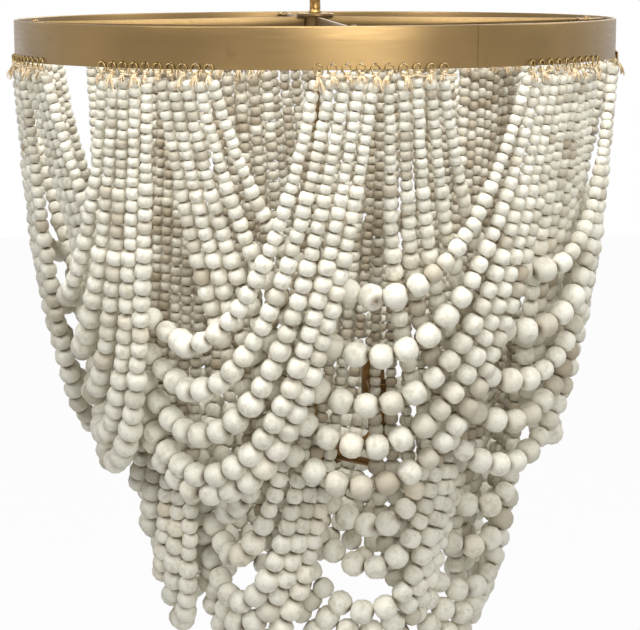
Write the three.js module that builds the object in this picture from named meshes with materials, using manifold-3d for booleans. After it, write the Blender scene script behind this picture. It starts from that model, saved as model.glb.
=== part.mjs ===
import * as THREE from 'three';
import { mergeVertices } from 'three/addons/utils/BufferGeometryUtils.js';
import Module from 'manifold-3d';

// Beaded chandelier: a wide brass band and a smaller hoop hidden inside it carry two tiers of woven bead swags.
// Lengths are millimetres, +Z is up, and the origin is at the ceiling on the axis of the stem.
// Angles are turned about +Z from the front, which is -Y.

const wasm = await Module();
wasm.setup();

// Pieces that touch keep this gap, and moving or screwed pieces the wider one
const seatGap = 0.3;
const screwClearance = 0.4;
const cutOverrun = 2;
const weldTolerance = 0.0001;

// Ceiling bar and its two screws
const barLength = 104;
const barWidth = 24;
const barThick = 2.6;
const barScrewInset = 10.5;
const barScrewSpacing = barLength - 2 * barScrewInset;
const barScrewRadius = 2.1;
const barScrewHeadRadius = 4.2;
const barScrewHeadHeight = 2.6;

// Canopy dish and the collar that holds it up
const canopyRadius = 63.5;
const canopyDepth = 26;
const canopyRimDrop = 5;
const canopyWall = 1.4;
const canopyCrownRadius = 30;
const collarRadius = 19;
const collarHeight = 7;

// Canopy loop: threaded body with an eye
const loopBodyRadius = 13;
const loopBodyDrop = 8;
const loopShankRadius = 5;
const collarClearance = 0.5;
const eyeMidRadius = 9;
const eyeWireRadius = 2.1;

// Chain links
const linkCount = 3;
const linkWireRadius = 1.8;
const linkBendRadius = 8.6;
const linkStraight = 15;

// Stem above the band
const stemLength = 61;
const stemRadius = 5.6;
const stemCapRadius = 6.6;
const stemCapHeight = 5;
const stemFootRadius = 6.8;
const stemFootHeight = 3.7;

// Top hub, spokes and their screws
const hubDiscRadius = 19;
const hubDiscThick = 3;
const hubDiscRise = 4.5;
const hubBlockRadius = 11;
const hubBlockHeight = 12;
const spokeCount = 4;
const spokeTurnDegrees = 7;
const spokeThick = 3;
const spokeHeight = 11;
const spokeEndDrop = 2;
const spokePadLength = 27;
const spokePadWidth = 13;
const spokePadThick = 2.6;
const spokeScrewInset = 18;
const spokeScrewRadius = 1.6;
const spokeScrewHeadRadius = 3.8;
const spokeScrewHeadHeight = 2.4;
const spokeScrewTip = 3;

// Top band with its rounded rim and inner lugs
const bandRadius = 305;
const bandThick = 3;
const bandHeight = 38.5;
const lugLength = 26;

// Centre tube
const tubeRadius = 4.6;
const tubeBoreRadius = 3;

// Lower hoop, this much smaller in radius than the band, with its hub and spokes
const tierStep = 98.8;
const hoopRadius = bandRadius - tierStep;
const hoopThick = 2.4;
const hoopHeight = 12;
const hoopDrop = 24;
const lowerHubRadius = 14;
const lowerHubHeight = 10;
const lowerSpokeThick = 2.6;
const lowerSpokeHeight = 8;

// Lamp hub, arms, cups and sockets
const lampHubDrop = 446;
const lampHubRadius = 30;
const lampHubHeight = 18;
const lampHubEdge = 4;
const lampCount = 4;
const lampTurnDegrees = 47;
const armRadius = 3.8;
const armReach = 90;
const armBendRadius = 14;
const armDropInHub = 9;
const armRise = 28;
const cupHeight = 60;
const cupFootRadius = 7;
const cupBodyRadius = 12.6;
const cupRimRadius = 15;
const cupFootHeight = 9;
const cupRimHeight = 6;
const cupWall = 1.2;
const socketBoreRadius = 7;
const socketBoreDepth = 27;
const socketTopDrop = 7;
const finialRadius = 8.5;
const finialHeight = 19;
const finialWaistShare = 0.8;
const finialBellyShares = [0.5, 0.2];

// Bead strands: sizes of the beads and of the bare twine at the top
const strandsPerSwag = 5;
const tieDepth = 2.5;
const tieWidth = 4.2;
const neckRadius = 1.1;
const neckLength = 8;
const beadDiameters = [10.5, 14, 17.5, 21.5, 25];
const tubeFillShare = 0.94;

// Upper tier: ten swags, each hung from one cluster of rings to the next but one. The clusters sit closer
// together at the back. Slack lengthens a swag's strands, and lean draws it inwards as it falls.
const upperTier = {
  name: 'upper_swag',
  clusterDegrees: [11.35, 51.35, 91.35, 124.68, 158.02, 191.35, 224.68, 258.02, 291.35, 331.35],
  ringDegrees: 2.4,
  ringRadius: bandRadius - bandThick / 2,
  strandDrops: [209, 266, 315, 356, 396],
  slackShares: [0, -0.05, -0.031, -0.014, -0.01, -0.002, 0, 0, 0.1, 0.24],
  leanShares: [0, -0.019, 0, -0.005, -0.005, 0.013, 0.035, 0.051, 0.043, 0.024],
  fixedRuns: [108, 65],
  insideOffset: 19,
  insideStep: 4,
  outsideOffset: 3.1,
  outsideStep: 3,
  firstWeavePower: 0.63,
  weavePowerStep: 0.2,
};

// Lower tier: eight swags on the hoop
const lowerTier = {
  name: 'lower_swag',
  clusterDegrees: [16, 61, 106, 151, 196, 241, 286, 331],
  ringDegrees: 3.58,
  ringRadius: hoopRadius - hoopThick / 2,
  strandDrops: [446, 492, 540, 565, 590],
  slackShares: [0.01, 0.016, 0.01, 0.015, -0.01, -0.02, -0.02, -0.014],
  leanShares: [-0.014, -0.026, -0.032, -0.022, -0.006, 0, 0, -0.005],
  fixedRuns: [344, 55],
  insideOffset: 25,
  insideStep: 3.3,
  outsideOffset: 6.5,
  outsideStep: 2.7,
  firstWeavePower: 0.65,
  weavePowerStep: 0.2,
};

// How much of a swag's slack each of its strands takes, and how the rest of a strand is shared by bead size
const slackTakenShares = [1, 0.6, 0.45, 0.4, 0.15];
const lastRunShares = [0.42, 0.3, 0.28];
const stationShares = [0.38, 0.68, 0.87, 1];

// The search for a strand's flatness halves this range this many times
const flatnessLimits = [0.01, 10];
const halvings = 50;

// Facets
const strandSides = 4;
const wireSides = 8;
const armSides = 6;
const rodSides = 16;
const cupSides = 12;
const dishSides = 28;
const bandSides = 60;
const hoopSides = 48;
const holeSides = 8;
const bendSteps = 6;
const archSteps = 3;

// Heights that follow from the sizes above
const barBottom = -barThick;
const loopBodyTop = -canopyDepth + loopBodyDrop;
const loopBodyBottom = -canopyDepth - collarHeight - seatGap;
const eyeCentre = loopBodyBottom - eyeMidRadius;
const hangingStep = linkStraight + 2 * linkBendRadius - linkWireRadius * 2 - seatGap;
const firstPivot = eyeCentre - eyeMidRadius;
const firstLinkTop = firstPivot + eyeWireRadius + linkWireRadius + seatGap;
const lastPivot = firstLinkTop - linkStraight - 2 * linkBendRadius - (linkCount - 1) * hangingStep;
const stemEyeTop = lastPivot + eyeWireRadius + linkWireRadius + seatGap;
const stemEyeCentre = stemEyeTop - eyeMidRadius;
const stemCapTop = stemEyeCentre - eyeMidRadius;
const stemTop = stemCapTop - stemCapHeight - seatGap;
const stemBottom = stemTop - stemLength;
const footBottom = stemBottom - stemFootHeight;
const ringTop = footBottom - seatGap - hubDiscRise;

const materials = {
  brass: { color: 0x9c845a, roughness: 0.36, metalness: 1 },
  bronze: { color: 0x6b4a2c, roughness: 0.5, metalness: 0.8 },
  steel: { color: 0x9a9a96, roughness: 0.45, metalness: 1 },
  phenolic: { color: 0x141312, roughness: 0.55, metalness: 0 },
  wood: { color: 0xe2dccf, roughness: 0.85, metalness: 0 },
};

// Degrees to radians
function turn(degrees) {
  return THREE.MathUtils.degToRad(degrees);
}

// Keep only positions, merge shared corners and drop collapsed triangles
function closedGeometry(source) {
  const bare = source.clone();
  bare.deleteAttribute('normal');
  bare.deleteAttribute('uv');
  const merged = mergeVertices(bare, weldTolerance);
  const corners = merged.getIndex().array;
  const kept = [];
  for (let i = 0; i < corners.length; i += 3) {
    const [a, b, c] = [corners[i], corners[i + 1], corners[i + 2]];
    if (a !== b && b !== c && c !== a) kept.push(a, b, c);
  }
  merged.setIndex(kept);
  return facingOut(merged);
}

// Turn the triangles round when the enclosed volume comes out negative
function facingOut(geometry) {
  const place = geometry.getAttribute('position');
  const index = Array.from(geometry.getIndex().array);
  const [a, b, c] = [new THREE.Vector3(), new THREE.Vector3(), new THREE.Vector3()];
  let volume = 0;
  for (let i = 0; i < index.length; i += 3) {
    a.fromBufferAttribute(place, index[i]);
    b.fromBufferAttribute(place, index[i + 1]);
    c.fromBufferAttribute(place, index[i + 2]);
    volume += a.dot(b.cross(c));
  }
  if (volume < 0) {
    for (let i = 0; i < index.length; i += 3) {
      [index[i + 1], index[i + 2]] = [index[i + 2], index[i + 1]];
    }
    geometry.setIndex(index);
  }
  return geometry;
}

function toSolid(geometry) {
  const closed = closedGeometry(geometry);
  const vertProperties = new Float32Array(closed.getAttribute('position').array);
  const triVerts = new Uint32Array(closed.getIndex().array);
  return new wasm.Manifold(new wasm.Mesh({ numProp: 3, vertProperties, triVerts }));
}

function toGeometry(solid) {
  const mesh = solid.getMesh();
  const geometry = new THREE.BufferGeometry();
  geometry.setAttribute('position', new THREE.BufferAttribute(mesh.vertProperties, 3));
  geometry.setIndex(Array.from(mesh.triVerts));
  return geometry;
}

function joined(...geometries) {
  return toGeometry(geometries.map(toSolid).reduce((whole, next) => whole.add(next)));
}

function cut(body, ...tools) {
  return toGeometry(tools.map(toSolid).reduce((left, tool) => left.subtract(tool), toSolid(body)));
}

// A profile of [radius, height] points turned about +Z
function turned(profile, sides) {
  const points = profile.map(([radius, height]) => new THREE.Vector2(radius, height));
  const lathe = new THREE.LatheGeometry(points, sides);
  lathe.rotateX(Math.PI / 2);
  return closedGeometry(lathe);
}

// A profile that closes on itself, so the turned body is a ring
function turnedRing(profile, sides) {
  return turned([...profile, profile[0]], sides);
}

function rod(radius, bottom, top, sides) {
  return turned([[0, bottom], [radius, bottom], [radius, top], [0, top]], sides);
}

function block(sizeX, sizeY, sizeZ, centre) {
  const box = new THREE.BoxGeometry(sizeX, sizeY, sizeZ);
  box.translate(centre[0], centre[1], centre[2]);
  return closedGeometry(box);
}

// A polygon of given radii swept along points; sideways is held as close to one direction as it can be
function swept(points, radii, sideways, sides, loops) {
  const positions = [];
  const count = points.length;
  for (let i = 0; i < count; i += 1) {
    const before = loops ? points[(i + count - 1) % count] : points[Math.max(i - 1, 0)];
    const after = loops ? points[(i + 1) % count] : points[Math.min(i + 1, count - 1)];
    const along = after.clone().sub(before).normalize();
    const across = sideways.clone().addScaledVector(along, -sideways.dot(along)).normalize();
    const third = along.clone().cross(across);
    for (let s = 0; s < sides; s += 1) {
      const angle = (2 * Math.PI * s) / sides;
      const corner = points[i].clone();
      corner.addScaledVector(across, radii[i] * Math.cos(angle));
      corner.addScaledVector(third, radii[i] * Math.sin(angle));
      positions.push(corner.x, corner.y, corner.z);
    }
  }
  const index = [];
  const bands = loops ? count : count - 1;
  for (let i = 0; i < bands; i += 1) {
    const here = i * sides;
    const next = ((i + 1) % count) * sides;
    for (let s = 0; s < sides; s += 1) {
      const t = (s + 1) % sides;
      index.push(here + s, next + s, next + t, here + s, next + t, here + t);
    }
  }
  const last = (count - 1) * sides;
  for (let s = 1; s < sides - 1 && !loops; s += 1) {
    index.push(0, s, s + 1, last, last + s + 1, last + s);
  }
  const geometry = new THREE.BufferGeometry();
  geometry.setAttribute('position', new THREE.Float32BufferAttribute(positions, 3));
  geometry.setIndex(index);
  return facingOut(geometry);
}

// A long ring of round wire in the XZ plane: two half circles joined by straight sides
function wireRing(bendRadius, straight, wireRadius, centreHeight) {
  const points = [];
  for (const end of [1, -1]) {
    for (let i = 0; i <= bendSteps; i += 1) {
      const angle = (Math.PI * i) / bendSteps;
      const x = end * bendRadius * Math.cos(angle);
      const z = centreHeight + end * (straight / 2 + bendRadius * Math.sin(angle));
      points.push(new THREE.Vector3(x, 0, z));
    }
  }
  const open = straight > 0 ? points : points.filter((point, i) => i % (bendSteps + 1) !== bendSteps);
  const radii = open.map(() => wireRadius);
  return swept(open, radii, new THREE.Vector3(0, 1, 0), wireSides, true);
}

function screw(headRadius, headHeight, shankRadius, shankLength) {
  const dome = [];
  for (let i = 0; i <= archSteps; i += 1) {
    const angle = (Math.PI / 2) * (i / archSteps);
    dome.push([headRadius * Math.cos(angle), headHeight * Math.sin(angle)]);
  }
  dome[archSteps][0] = 0;
  return turned([[0, -shankLength], [shankRadius, -shankLength], [shankRadius, 0], ...dome], holeSides);
}

// The bar bolts to the ceiling box; its middle is solid and carries the loop's shank
function ceilingBar() {
  const bar = block(barLength, barWidth, barThick, [0, 0, -barThick / 2]);
  const holes = [-1, 1].map((side) => {
    const hole = rod(barScrewRadius + screwClearance, -barThick - cutOverrun, cutOverrun, holeSides);
    hole.translate((side * barScrewSpacing) / 2, 0, 0);
    return hole;
  });
  return cut(bar, ...holes);
}

function canopyDish() {
  const hole = loopBodyRadius + collarClearance;
  const outer = [];
  const inner = [];
  for (let i = 0; i <= archSteps; i += 1) {
    const angle = (Math.PI / 2) * (i / archSteps);
    const reach = canopyRadius - canopyCrownRadius;
    const drop = canopyDepth - canopyRimDrop;
    outer.push([canopyCrownRadius + reach * Math.cos(angle), -canopyRimDrop - drop * Math.sin(angle)]);
    const innerReach = reach - canopyWall;
    const innerDrop = drop - canopyWall;
    const innerHeight = -canopyRimDrop - innerDrop * Math.sin(angle);
    inner.push([canopyCrownRadius + innerReach * Math.cos(angle), innerHeight]);
  }
  const rim = [[canopyRadius - canopyWall, 0], [canopyRadius, 0]];
  const mouth = [[hole, -canopyDepth], [hole, -canopyDepth + canopyWall]];
  return turnedRing([...rim, ...outer, ...mouth, ...inner.reverse()], dishSides);
}

function canopyCollar() {
  const top = -canopyDepth - seatGap;
  const bottom = top - collarHeight;
  const bore = loopBodyRadius + collarClearance;
  const waist = collarRadius - collarHeight / 4;
  const middle = (top + bottom) / 2;
  const outside = [[waist, bottom], [collarRadius, middle], [waist, top]];
  return turnedRing([[bore, bottom], ...outside, [bore, top]], dishSides);
}

// A thin shank runs up to the bar, a thick threaded body fills the canopy's hole, and the eye hangs below
function canopyLoop() {
  const shankTop = barBottom - seatGap;
  const body = turned([
    [0, loopBodyBottom],
    [loopBodyRadius - eyeWireRadius, loopBodyBottom],
    [loopBodyRadius, loopBodyBottom + eyeWireRadius],
    [loopBodyRadius, loopBodyTop],
    [loopShankRadius, loopBodyTop],
    [loopShankRadius, shankTop],
    [0, shankTop],
  ], rodSides);
  return joined(body, wireRing(eyeMidRadius, 0, eyeWireRadius, eyeCentre));
}

function stemLoop() {
  const cap = turned([
    [0, -stemCapHeight],
    [stemCapRadius, -stemCapHeight],
    [stemCapRadius, -stemCapHeight / 3],
    [stemCapRadius / 2, eyeWireRadius],
    [0, eyeWireRadius],
  ], rodSides);
  cap.translate(0, 0, stemCapTop);
  return joined(cap, wireRing(eyeMidRadius, 0, eyeWireRadius, stemEyeCentre));
}

// The stem stands on a foot that widens to the hub
function upperStem() {
  return turned([
    [0, footBottom],
    [stemFootRadius, footBottom],
    [stemFootRadius, footBottom + stemFootHeight / 3],
    [stemRadius, stemBottom],
    [stemRadius, stemTop],
    [0, stemTop],
  ], rodSides);
}

// A thin disc over a round block whose side takes the spokes
function topHub() {
  const discBottom = hubDiscRise - hubDiscThick;
  const blockBottom = discBottom - hubBlockHeight;
  return turned([
    [0, blockBottom],
    [hubBlockRadius, blockBottom],
    [hubBlockRadius, discBottom],
    [hubDiscRadius, discBottom],
    [hubDiscRadius, hubDiscRise],
    [0, hubDiscRise],
  ], dishSides);
}

// A bar on edge that falls a little towards the band, with a flat drilled pad at its end; it lies along +X
function topSpoke() {
  const innerEnd = hubBlockRadius + seatGap;
  const outerEnd = (bandRadius - bandThick) * Math.cos(Math.PI / bandSides) - seatGap;
  const padStart = outerEnd - spokePadLength;
  const innerTop = hubDiscRise - hubDiscThick - seatGap;
  const outline = new THREE.Shape();
  outline.moveTo(innerEnd, innerTop);
  outline.lineTo(padStart, -spokeEndDrop);
  outline.lineTo(outerEnd, -spokeEndDrop);
  outline.lineTo(outerEnd, -spokeEndDrop - spokePadThick);
  outline.lineTo(padStart, -spokeEndDrop - spokePadThick);
  outline.lineTo(padStart, -spokeEndDrop - spokeHeight);
  outline.lineTo(innerEnd, innerTop - spokeHeight);
  const web = new THREE.ExtrudeGeometry(outline, { depth: spokeThick, bevelEnabled: false });
  web.translate(0, 0, -spokeThick / 2);
  web.rotateX(Math.PI / 2);
  const padCentre = [padStart + spokePadLength / 2, 0, -spokeEndDrop - spokePadThick / 2];
  const pad = block(spokePadLength, spokePadWidth, spokePadThick, padCentre);
  return cut(joined(web, pad), screwHole());
}

function screwHole() {
  const hole = rod(spokeScrewRadius + screwClearance, -spokeHeight - cutOverrun, cutOverrun, holeSides);
  hole.translate(bandRadius - bandThick - spokeScrewInset, 0, 0);
  return hole;
}

function spokeScrew() {
  const length = 2 * spokePadThick + 2 * seatGap + spokeScrewTip;
  return screw(spokeScrewHeadRadius, spokeScrewHeadHeight, spokeScrewRadius, length);
}

// The band's rim is a half round; four drilled lugs inside carry the spokes' pads
function topBand() {
  const inner = bandRadius - bandThick;
  const rimRadius = bandThick / 2;
  const profile = [[inner, -bandHeight], [bandRadius, -bandHeight]];
  for (let i = 0; i <= archSteps; i += 1) {
    const angle = Math.PI * (i / archSteps);
    const height = -rimRadius + rimRadius * Math.sin(angle);
    profile.push([bandRadius - rimRadius + rimRadius * Math.cos(angle), height]);
  }
  let band = turnedRing(profile, bandSides);
  const lugTop = -spokeEndDrop - spokePadThick - seatGap;
  const lugCentre = [inner + (bandThick - lugLength) / 2, 0, lugTop - spokePadThick / 2];
  for (let i = 0; i < spokeCount; i += 1) {
    const drilled = cut(block(lugLength, spokePadWidth, spokePadThick, lugCentre), screwHole());
    drilled.rotateZ(spokeAngle(i));
    band = joined(band, drilled);
  }
  return band;
}

// Spokes lie along +X before they are turned, so the first one starts from the front
function spokeAngle(i) {
  return turn(spokeTurnDegrees) + (2 * Math.PI * i) / spokeCount - Math.PI / 2;
}

function centreTube() {
  const top = hubDiscRise - hubDiscThick - hubBlockHeight - seatGap;
  const bottom = -lampHubDrop + seatGap;
  const outside = [[tubeRadius, bottom], [tubeRadius, top]];
  return turnedRing([[tubeBoreRadius, bottom], ...outside, [tubeBoreRadius, top]], rodSides);
}

function lowerHoop() {
  const inner = hoopRadius - hoopThick;
  const bottom = -hoopDrop - hoopHeight;
  const outside = [[hoopRadius, bottom], [hoopRadius, -hoopDrop]];
  return turnedRing([[inner, bottom], ...outside, [inner, -hoopDrop]], hoopSides);
}

function lowerHub() {
  const bore = tubeRadius + seatGap;
  const middle = -hoopDrop - hoopHeight / 2;
  const bottom = middle - lowerHubHeight / 2;
  const top = middle + lowerHubHeight / 2;
  const outside = [[lowerHubRadius, bottom], [lowerHubRadius, top]];
  return turnedRing([[bore, bottom], ...outside, [bore, top]], rodSides);
}

function lowerSpoke() {
  const start = lowerHubRadius + seatGap;
  const length = (hoopRadius - hoopThick) * Math.cos(Math.PI / hoopSides) - seatGap - start;
  const middle = -hoopDrop - hoopHeight / 2;
  return block(length, lowerSpokeThick, lowerSpokeHeight, [start + length / 2, 0, middle]);
}

function lampHub() {
  const top = -lampHubDrop;
  const bottom = top - lampHubHeight;
  return turned([
    [0, bottom],
    [lampHubRadius - lampHubEdge, bottom],
    [lampHubRadius, bottom + lampHubEdge],
    [lampHubRadius, top - lampHubEdge],
    [lampHubRadius - lampHubEdge, top],
    [0, top],
  ], dishSides);
}

// The arm leaves the hub level and bends up to the cup; it lies along +X
function lampArm() {
  const level = -lampHubDrop - armDropInHub;
  const points = [new THREE.Vector3(lampHubRadius + seatGap, 0, level)];
  for (let i = 0; i <= archSteps; i += 1) {
    const angle = (Math.PI / 2) * (i / archSteps);
    const x = armReach - armBendRadius + armBendRadius * Math.sin(angle);
    const z = level + armBendRadius - armBendRadius * Math.cos(angle);
    points.push(new THREE.Vector3(x, 0, z));
  }
  points.push(new THREE.Vector3(armReach, 0, level + armRise - seatGap));
  const radii = points.map(() => armRadius);
  return swept(points, radii, new THREE.Vector3(0, 1, 0), armSides, false);
}

function socketCup() {
  const foot = [[0, 0], [cupFootRadius, 0], [cupBodyRadius, cupFootHeight]];
  const outerRim = [[cupBodyRadius, cupHeight - cupRimHeight], [cupRimRadius, cupHeight]];
  const bore = cupBodyRadius - cupWall;
  const innerRim = [[cupRimRadius - cupWall, cupHeight], [bore, cupHeight - cupRimHeight]];
  const floor = [[bore, cupFootHeight + cupWall], [0, cupFootHeight + cupWall]];
  return turned([...foot, ...outerRim, ...innerRim, ...floor], cupSides);
}

function lampSocket() {
  const radius = cupBodyRadius - cupWall - seatGap;
  const bottom = cupFootHeight + cupWall + seatGap;
  const top = cupHeight - socketTopDrop;
  const seat = top - socketBoreDepth;
  return turned([
    [0, bottom],
    [radius, bottom],
    [radius, top],
    [socketBoreRadius, top],
    [socketBoreRadius, seat],
    [0, seat],
  ], cupSides);
}

function bottomFinial() {
  const waist = finialRadius / 2;
  return turned([
    [0, -finialHeight],
    [waist / 2, -finialHeight],
    [waist, -finialHeight * finialWaistShare],
    ...finialBellyShares.map((share) => [finialRadius, -finialHeight * share]),
    [waist, 0],
    [0, 0],
  ], cupSides);
}

// The flatness of a hanging chain whose drop is this many times its half span
function chainFlatness(dropRatio) {
  let [low, high] = flatnessLimits;
  for (let i = 0; i < halvings; i += 1) {
    const middle = (low + high) / 2;
    if ((Math.cosh(middle) - 1) / middle < dropRatio) low = middle;
    else high = middle;
  }
  return low;
}

// Bead radius at a distance from the ring: beads grow run by run down the strand
function beadRadiusAt(distance, halfLength, tier) {
  const runs = [...tier.fixedRuns];
  const rest = halfLength - runs[0] - runs[1];
  for (const share of lastRunShares) runs.push(share * rest);
  let start = 0;
  let previous = null;
  for (let i = 0; i < runs.length; i += 1) {
    const middle = start + runs[i] / 2;
    const radius = beadDiameters[i] / 2;
    if (distance < middle) {
      if (!previous) return radius;
      const along = (distance - previous.middle) / (middle - previous.middle);
      return THREE.MathUtils.lerp(previous.radius, radius, along);
    }
    previous = { middle, radius };
    start += runs[i];
  }
  return previous.radius;
}

// A swag hangs between the clusters on either side of its own: its middle and half its angle, in degrees
function swagReach(tier, swagIndex) {
  const count = tier.clusterDegrees.length;
  const before = tier.clusterDegrees[(swagIndex + count - 1) % count];
  const after = tier.clusterDegrees[(swagIndex + 1) % count];
  const half = THREE.MathUtils.euclideanModulo(after - before, 360) / 2;
  return { middle: before + half, half };
}

// Half of the angle between the two rings that a strand hangs from
function halfSpan(tier, halfDegrees, strand) {
  const fromMiddle = strandsPerSwag - strand - 1 / 2;
  return turn(halfDegrees - tier.ringDegrees * fromMiddle);
}

// One strand as a tube: it hangs as a chain between its two rings, passes inside its neighbours where it
// leaves and outside them where it arrives, and swells with its beads
function strandTube(tier, halfDegrees, strand, slack, lean, hangHeight) {
  const span = halfSpan(tier, halfDegrees, strand);
  const halfWidth = tier.ringRadius * Math.sin(span);
  const planeDistance = tier.ringRadius * Math.cos(span);
  const drop = tier.strandDrops[strand] * (1 + slack * slackTakenShares[strand]);
  const flatness = chainFlatness(drop / halfWidth);
  const halfLength = (halfWidth / flatness) * Math.sinh(flatness);
  const inside = tier.insideOffset + tier.insideStep * strand;
  const outside = tier.outsideOffset + tier.outsideStep * (strandsPerSwag - 1 - strand);
  const weavePower = tier.firstWeavePower + tier.weavePowerStep * strand;
  const stations = [seatGap + tieDepth / 2, neckLength];
  for (const share of stationShares) stations.push(share * halfLength);
  const points = [];
  const radii = [];
  const addStation = (distance, side) => {
    const lengthShare = 1 - distance / halfLength;
    const across = (side * Math.asinh(lengthShare * Math.sinh(flatness))) / flatness;
    const sag = drop * (1 - (Math.cosh(flatness * across) - 1) / (Math.cosh(flatness) - 1));
    const offset = (side < 0 ? -inside : outside) * Math.sin(Math.PI * Math.abs(across) ** weavePower);
    const forward = lean * sag - planeDistance - offset;
    points.push(new THREE.Vector3(halfWidth * across, forward, hangHeight - sag));
    const bead = beadRadiusAt(distance, halfLength, tier) * tubeFillShare;
    radii.push(distance < neckLength ? neckRadius : bead);
  };
  stations.forEach((distance) => addStation(distance, -1));
  stations.slice(0, -1).reverse().forEach((distance) => addStation(distance, 1));
  return swept(points, radii, new THREE.Vector3(0, -1, 0), strandSides, false);
}

// The twine that runs from ring to ring under the band at one end of a swag, as a flat bar
function twineTie(tier, halfDegrees, side, hangHeight) {
  const nearest = halfSpan(tier, halfDegrees, 0);
  const farthest = halfSpan(tier, halfDegrees, strandsPerSwag - 1);
  const spread = (farthest - nearest) / 2;
  const length = 2 * tier.ringRadius * Math.sin(spread) + tieWidth;
  const distance = (tier.ringRadius * (1 + Math.cos(spread))) / 2;
  const tie = block(length, tieWidth, tieDepth, [0, -distance, hangHeight - seatGap - tieDepth / 2]);
  tie.rotateZ((side * (nearest + farthest)) / 2);
  return tie;
}

function swag(tier, swagIndex, hangHeight) {
  const reach = swagReach(tier, swagIndex);
  const slack = tier.slackShares[swagIndex];
  const lean = tier.leanShares[swagIndex];
  const parts = [-1, 1].map((side) => twineTie(tier, reach.half, side, hangHeight));
  for (let strand = 0; strand < strandsPerSwag; strand += 1) {
    parts.push(strandTube(tier, reach.half, strand, slack, lean, hangHeight));
  }
  const whole = joined(...parts);
  whole.rotateZ(turn(reach.middle));
  return whole;
}

const chandelier = new THREE.Group();
const fixture = new THREE.Group();
fixture.position.z = ringTop;
chandelier.add(fixture);

function add(parent, name, geometry, look) {
  const piece = new THREE.Mesh(geometry, new THREE.MeshStandardMaterial(materials[look]));
  piece.name = name;
  parent.add(piece);
  return piece;
}

// Ceiling bar, its screws, the canopy and the loop
add(chandelier, 'ceiling_bar', ceilingBar(), 'steel');
for (const [i, side] of [-1, 1].entries()) {
  const shape = screw(barScrewHeadRadius, barScrewHeadHeight, barScrewRadius, barThick);
  const fastener = add(chandelier, `bar_screw_${i + 1}`, shape, 'steel');
  fastener.rotation.x = Math.PI;
  fastener.position.set((side * barScrewSpacing) / 2, 0, barBottom - seatGap);
}
add(chandelier, 'canopy', canopyDish(), 'brass');
add(chandelier, 'canopy_collar', canopyCollar(), 'brass');
add(chandelier, 'canopy_loop', canopyLoop(), 'brass');

// Chain links, each a quarter turn from the one above
for (let i = 0; i < linkCount; i += 1) {
  const shape = wireRing(linkBendRadius, linkStraight, linkWireRadius, 0);
  const link = add(chandelier, `chain_link_${i + 1}`, shape, 'brass');
  link.rotation.z = ((i + 1) * Math.PI) / 2;
  link.position.z = firstLinkTop - i * hangingStep - linkStraight / 2 - linkBendRadius;
}

// Stem and its eye
const eye = add(chandelier, 'stem_loop', stemLoop(), 'brass');
eye.rotation.z = ((linkCount + 1) * Math.PI) / 2;
add(chandelier, 'upper_stem', upperStem(), 'brass');

// Hub, spokes, screws and band
add(fixture, 'top_hub', topHub(), 'brass');
for (let i = 0; i < spokeCount; i += 1) {
  const angle = spokeAngle(i);
  add(fixture, `top_spoke_${i + 1}`, topSpoke(), 'brass').rotation.z = angle;
  const fastener = add(fixture, `spoke_screw_${i + 1}`, spokeScrew(), 'brass');
  const reach = bandRadius - bandThick - spokeScrewInset;
  fastener.position.set(reach * Math.cos(angle), reach * Math.sin(angle), seatGap - spokeEndDrop);
}
add(fixture, 'top_band', topBand(), 'brass');
add(fixture, 'centre_tube', centreTube(), 'brass');

// Lower frame
add(fixture, 'lower_hoop', lowerHoop(), 'brass');
add(fixture, 'lower_hub', lowerHub(), 'brass');
for (let i = 0; i < spokeCount; i += 1) {
  add(fixture, `lower_spoke_${i + 1}`, lowerSpoke(), 'brass').rotation.z = spokeAngle(i);
}

// Lamps
add(fixture, 'lamp_hub', lampHub(), 'bronze');
for (let i = 0; i < lampCount; i += 1) {
  const angle = turn(lampTurnDegrees) + (2 * Math.PI * i) / lampCount - Math.PI / 2;
  add(fixture, `lamp_arm_${i + 1}`, lampArm(), 'bronze').rotation.z = angle;
  const cup = add(fixture, `socket_cup_${i + 1}`, socketCup(), 'bronze');
  const insert = add(fixture, `lamp_socket_${i + 1}`, lampSocket(), 'phenolic');
  const armEnd = -lampHubDrop - armDropInHub + armRise;
  for (const piece of [cup, insert]) {
    piece.position.set(armReach * Math.cos(angle), armReach * Math.sin(angle), armEnd);
  }
}
add(fixture, 'bottom_finial', bottomFinial(), 'bronze').position.z = -lampHubDrop - lampHubHeight - seatGap;

// Both tiers of swags
for (const [tier, hangHeight] of [[upperTier, -bandHeight], [lowerTier, -hoopDrop - hoopHeight]]) {
  for (let i = 0; i < tier.clusterDegrees.length; i += 1) {
    add(fixture, `${tier.name}_${i + 1}`, swag(tier, i, hangHeight), 'wood');
  }
}

export default chandelier;
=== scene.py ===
import math
import random

import bmesh
import bpy
import numpy as np
from mathutils import Matrix, Vector


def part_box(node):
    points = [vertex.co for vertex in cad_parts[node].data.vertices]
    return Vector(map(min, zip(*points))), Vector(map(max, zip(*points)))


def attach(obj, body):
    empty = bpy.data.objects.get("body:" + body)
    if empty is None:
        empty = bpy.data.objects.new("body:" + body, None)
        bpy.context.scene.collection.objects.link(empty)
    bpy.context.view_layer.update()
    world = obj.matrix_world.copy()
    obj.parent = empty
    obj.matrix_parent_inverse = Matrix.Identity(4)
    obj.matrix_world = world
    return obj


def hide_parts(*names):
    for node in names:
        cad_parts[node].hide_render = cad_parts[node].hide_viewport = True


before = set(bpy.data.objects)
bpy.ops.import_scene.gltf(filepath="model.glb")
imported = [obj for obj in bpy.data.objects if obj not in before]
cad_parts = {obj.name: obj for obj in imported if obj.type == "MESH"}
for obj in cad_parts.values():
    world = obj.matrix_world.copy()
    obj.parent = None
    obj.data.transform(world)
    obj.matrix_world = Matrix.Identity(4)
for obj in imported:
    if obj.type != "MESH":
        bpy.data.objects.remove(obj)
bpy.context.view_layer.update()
scene = bpy.context.scene
mm = 0.001
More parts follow.
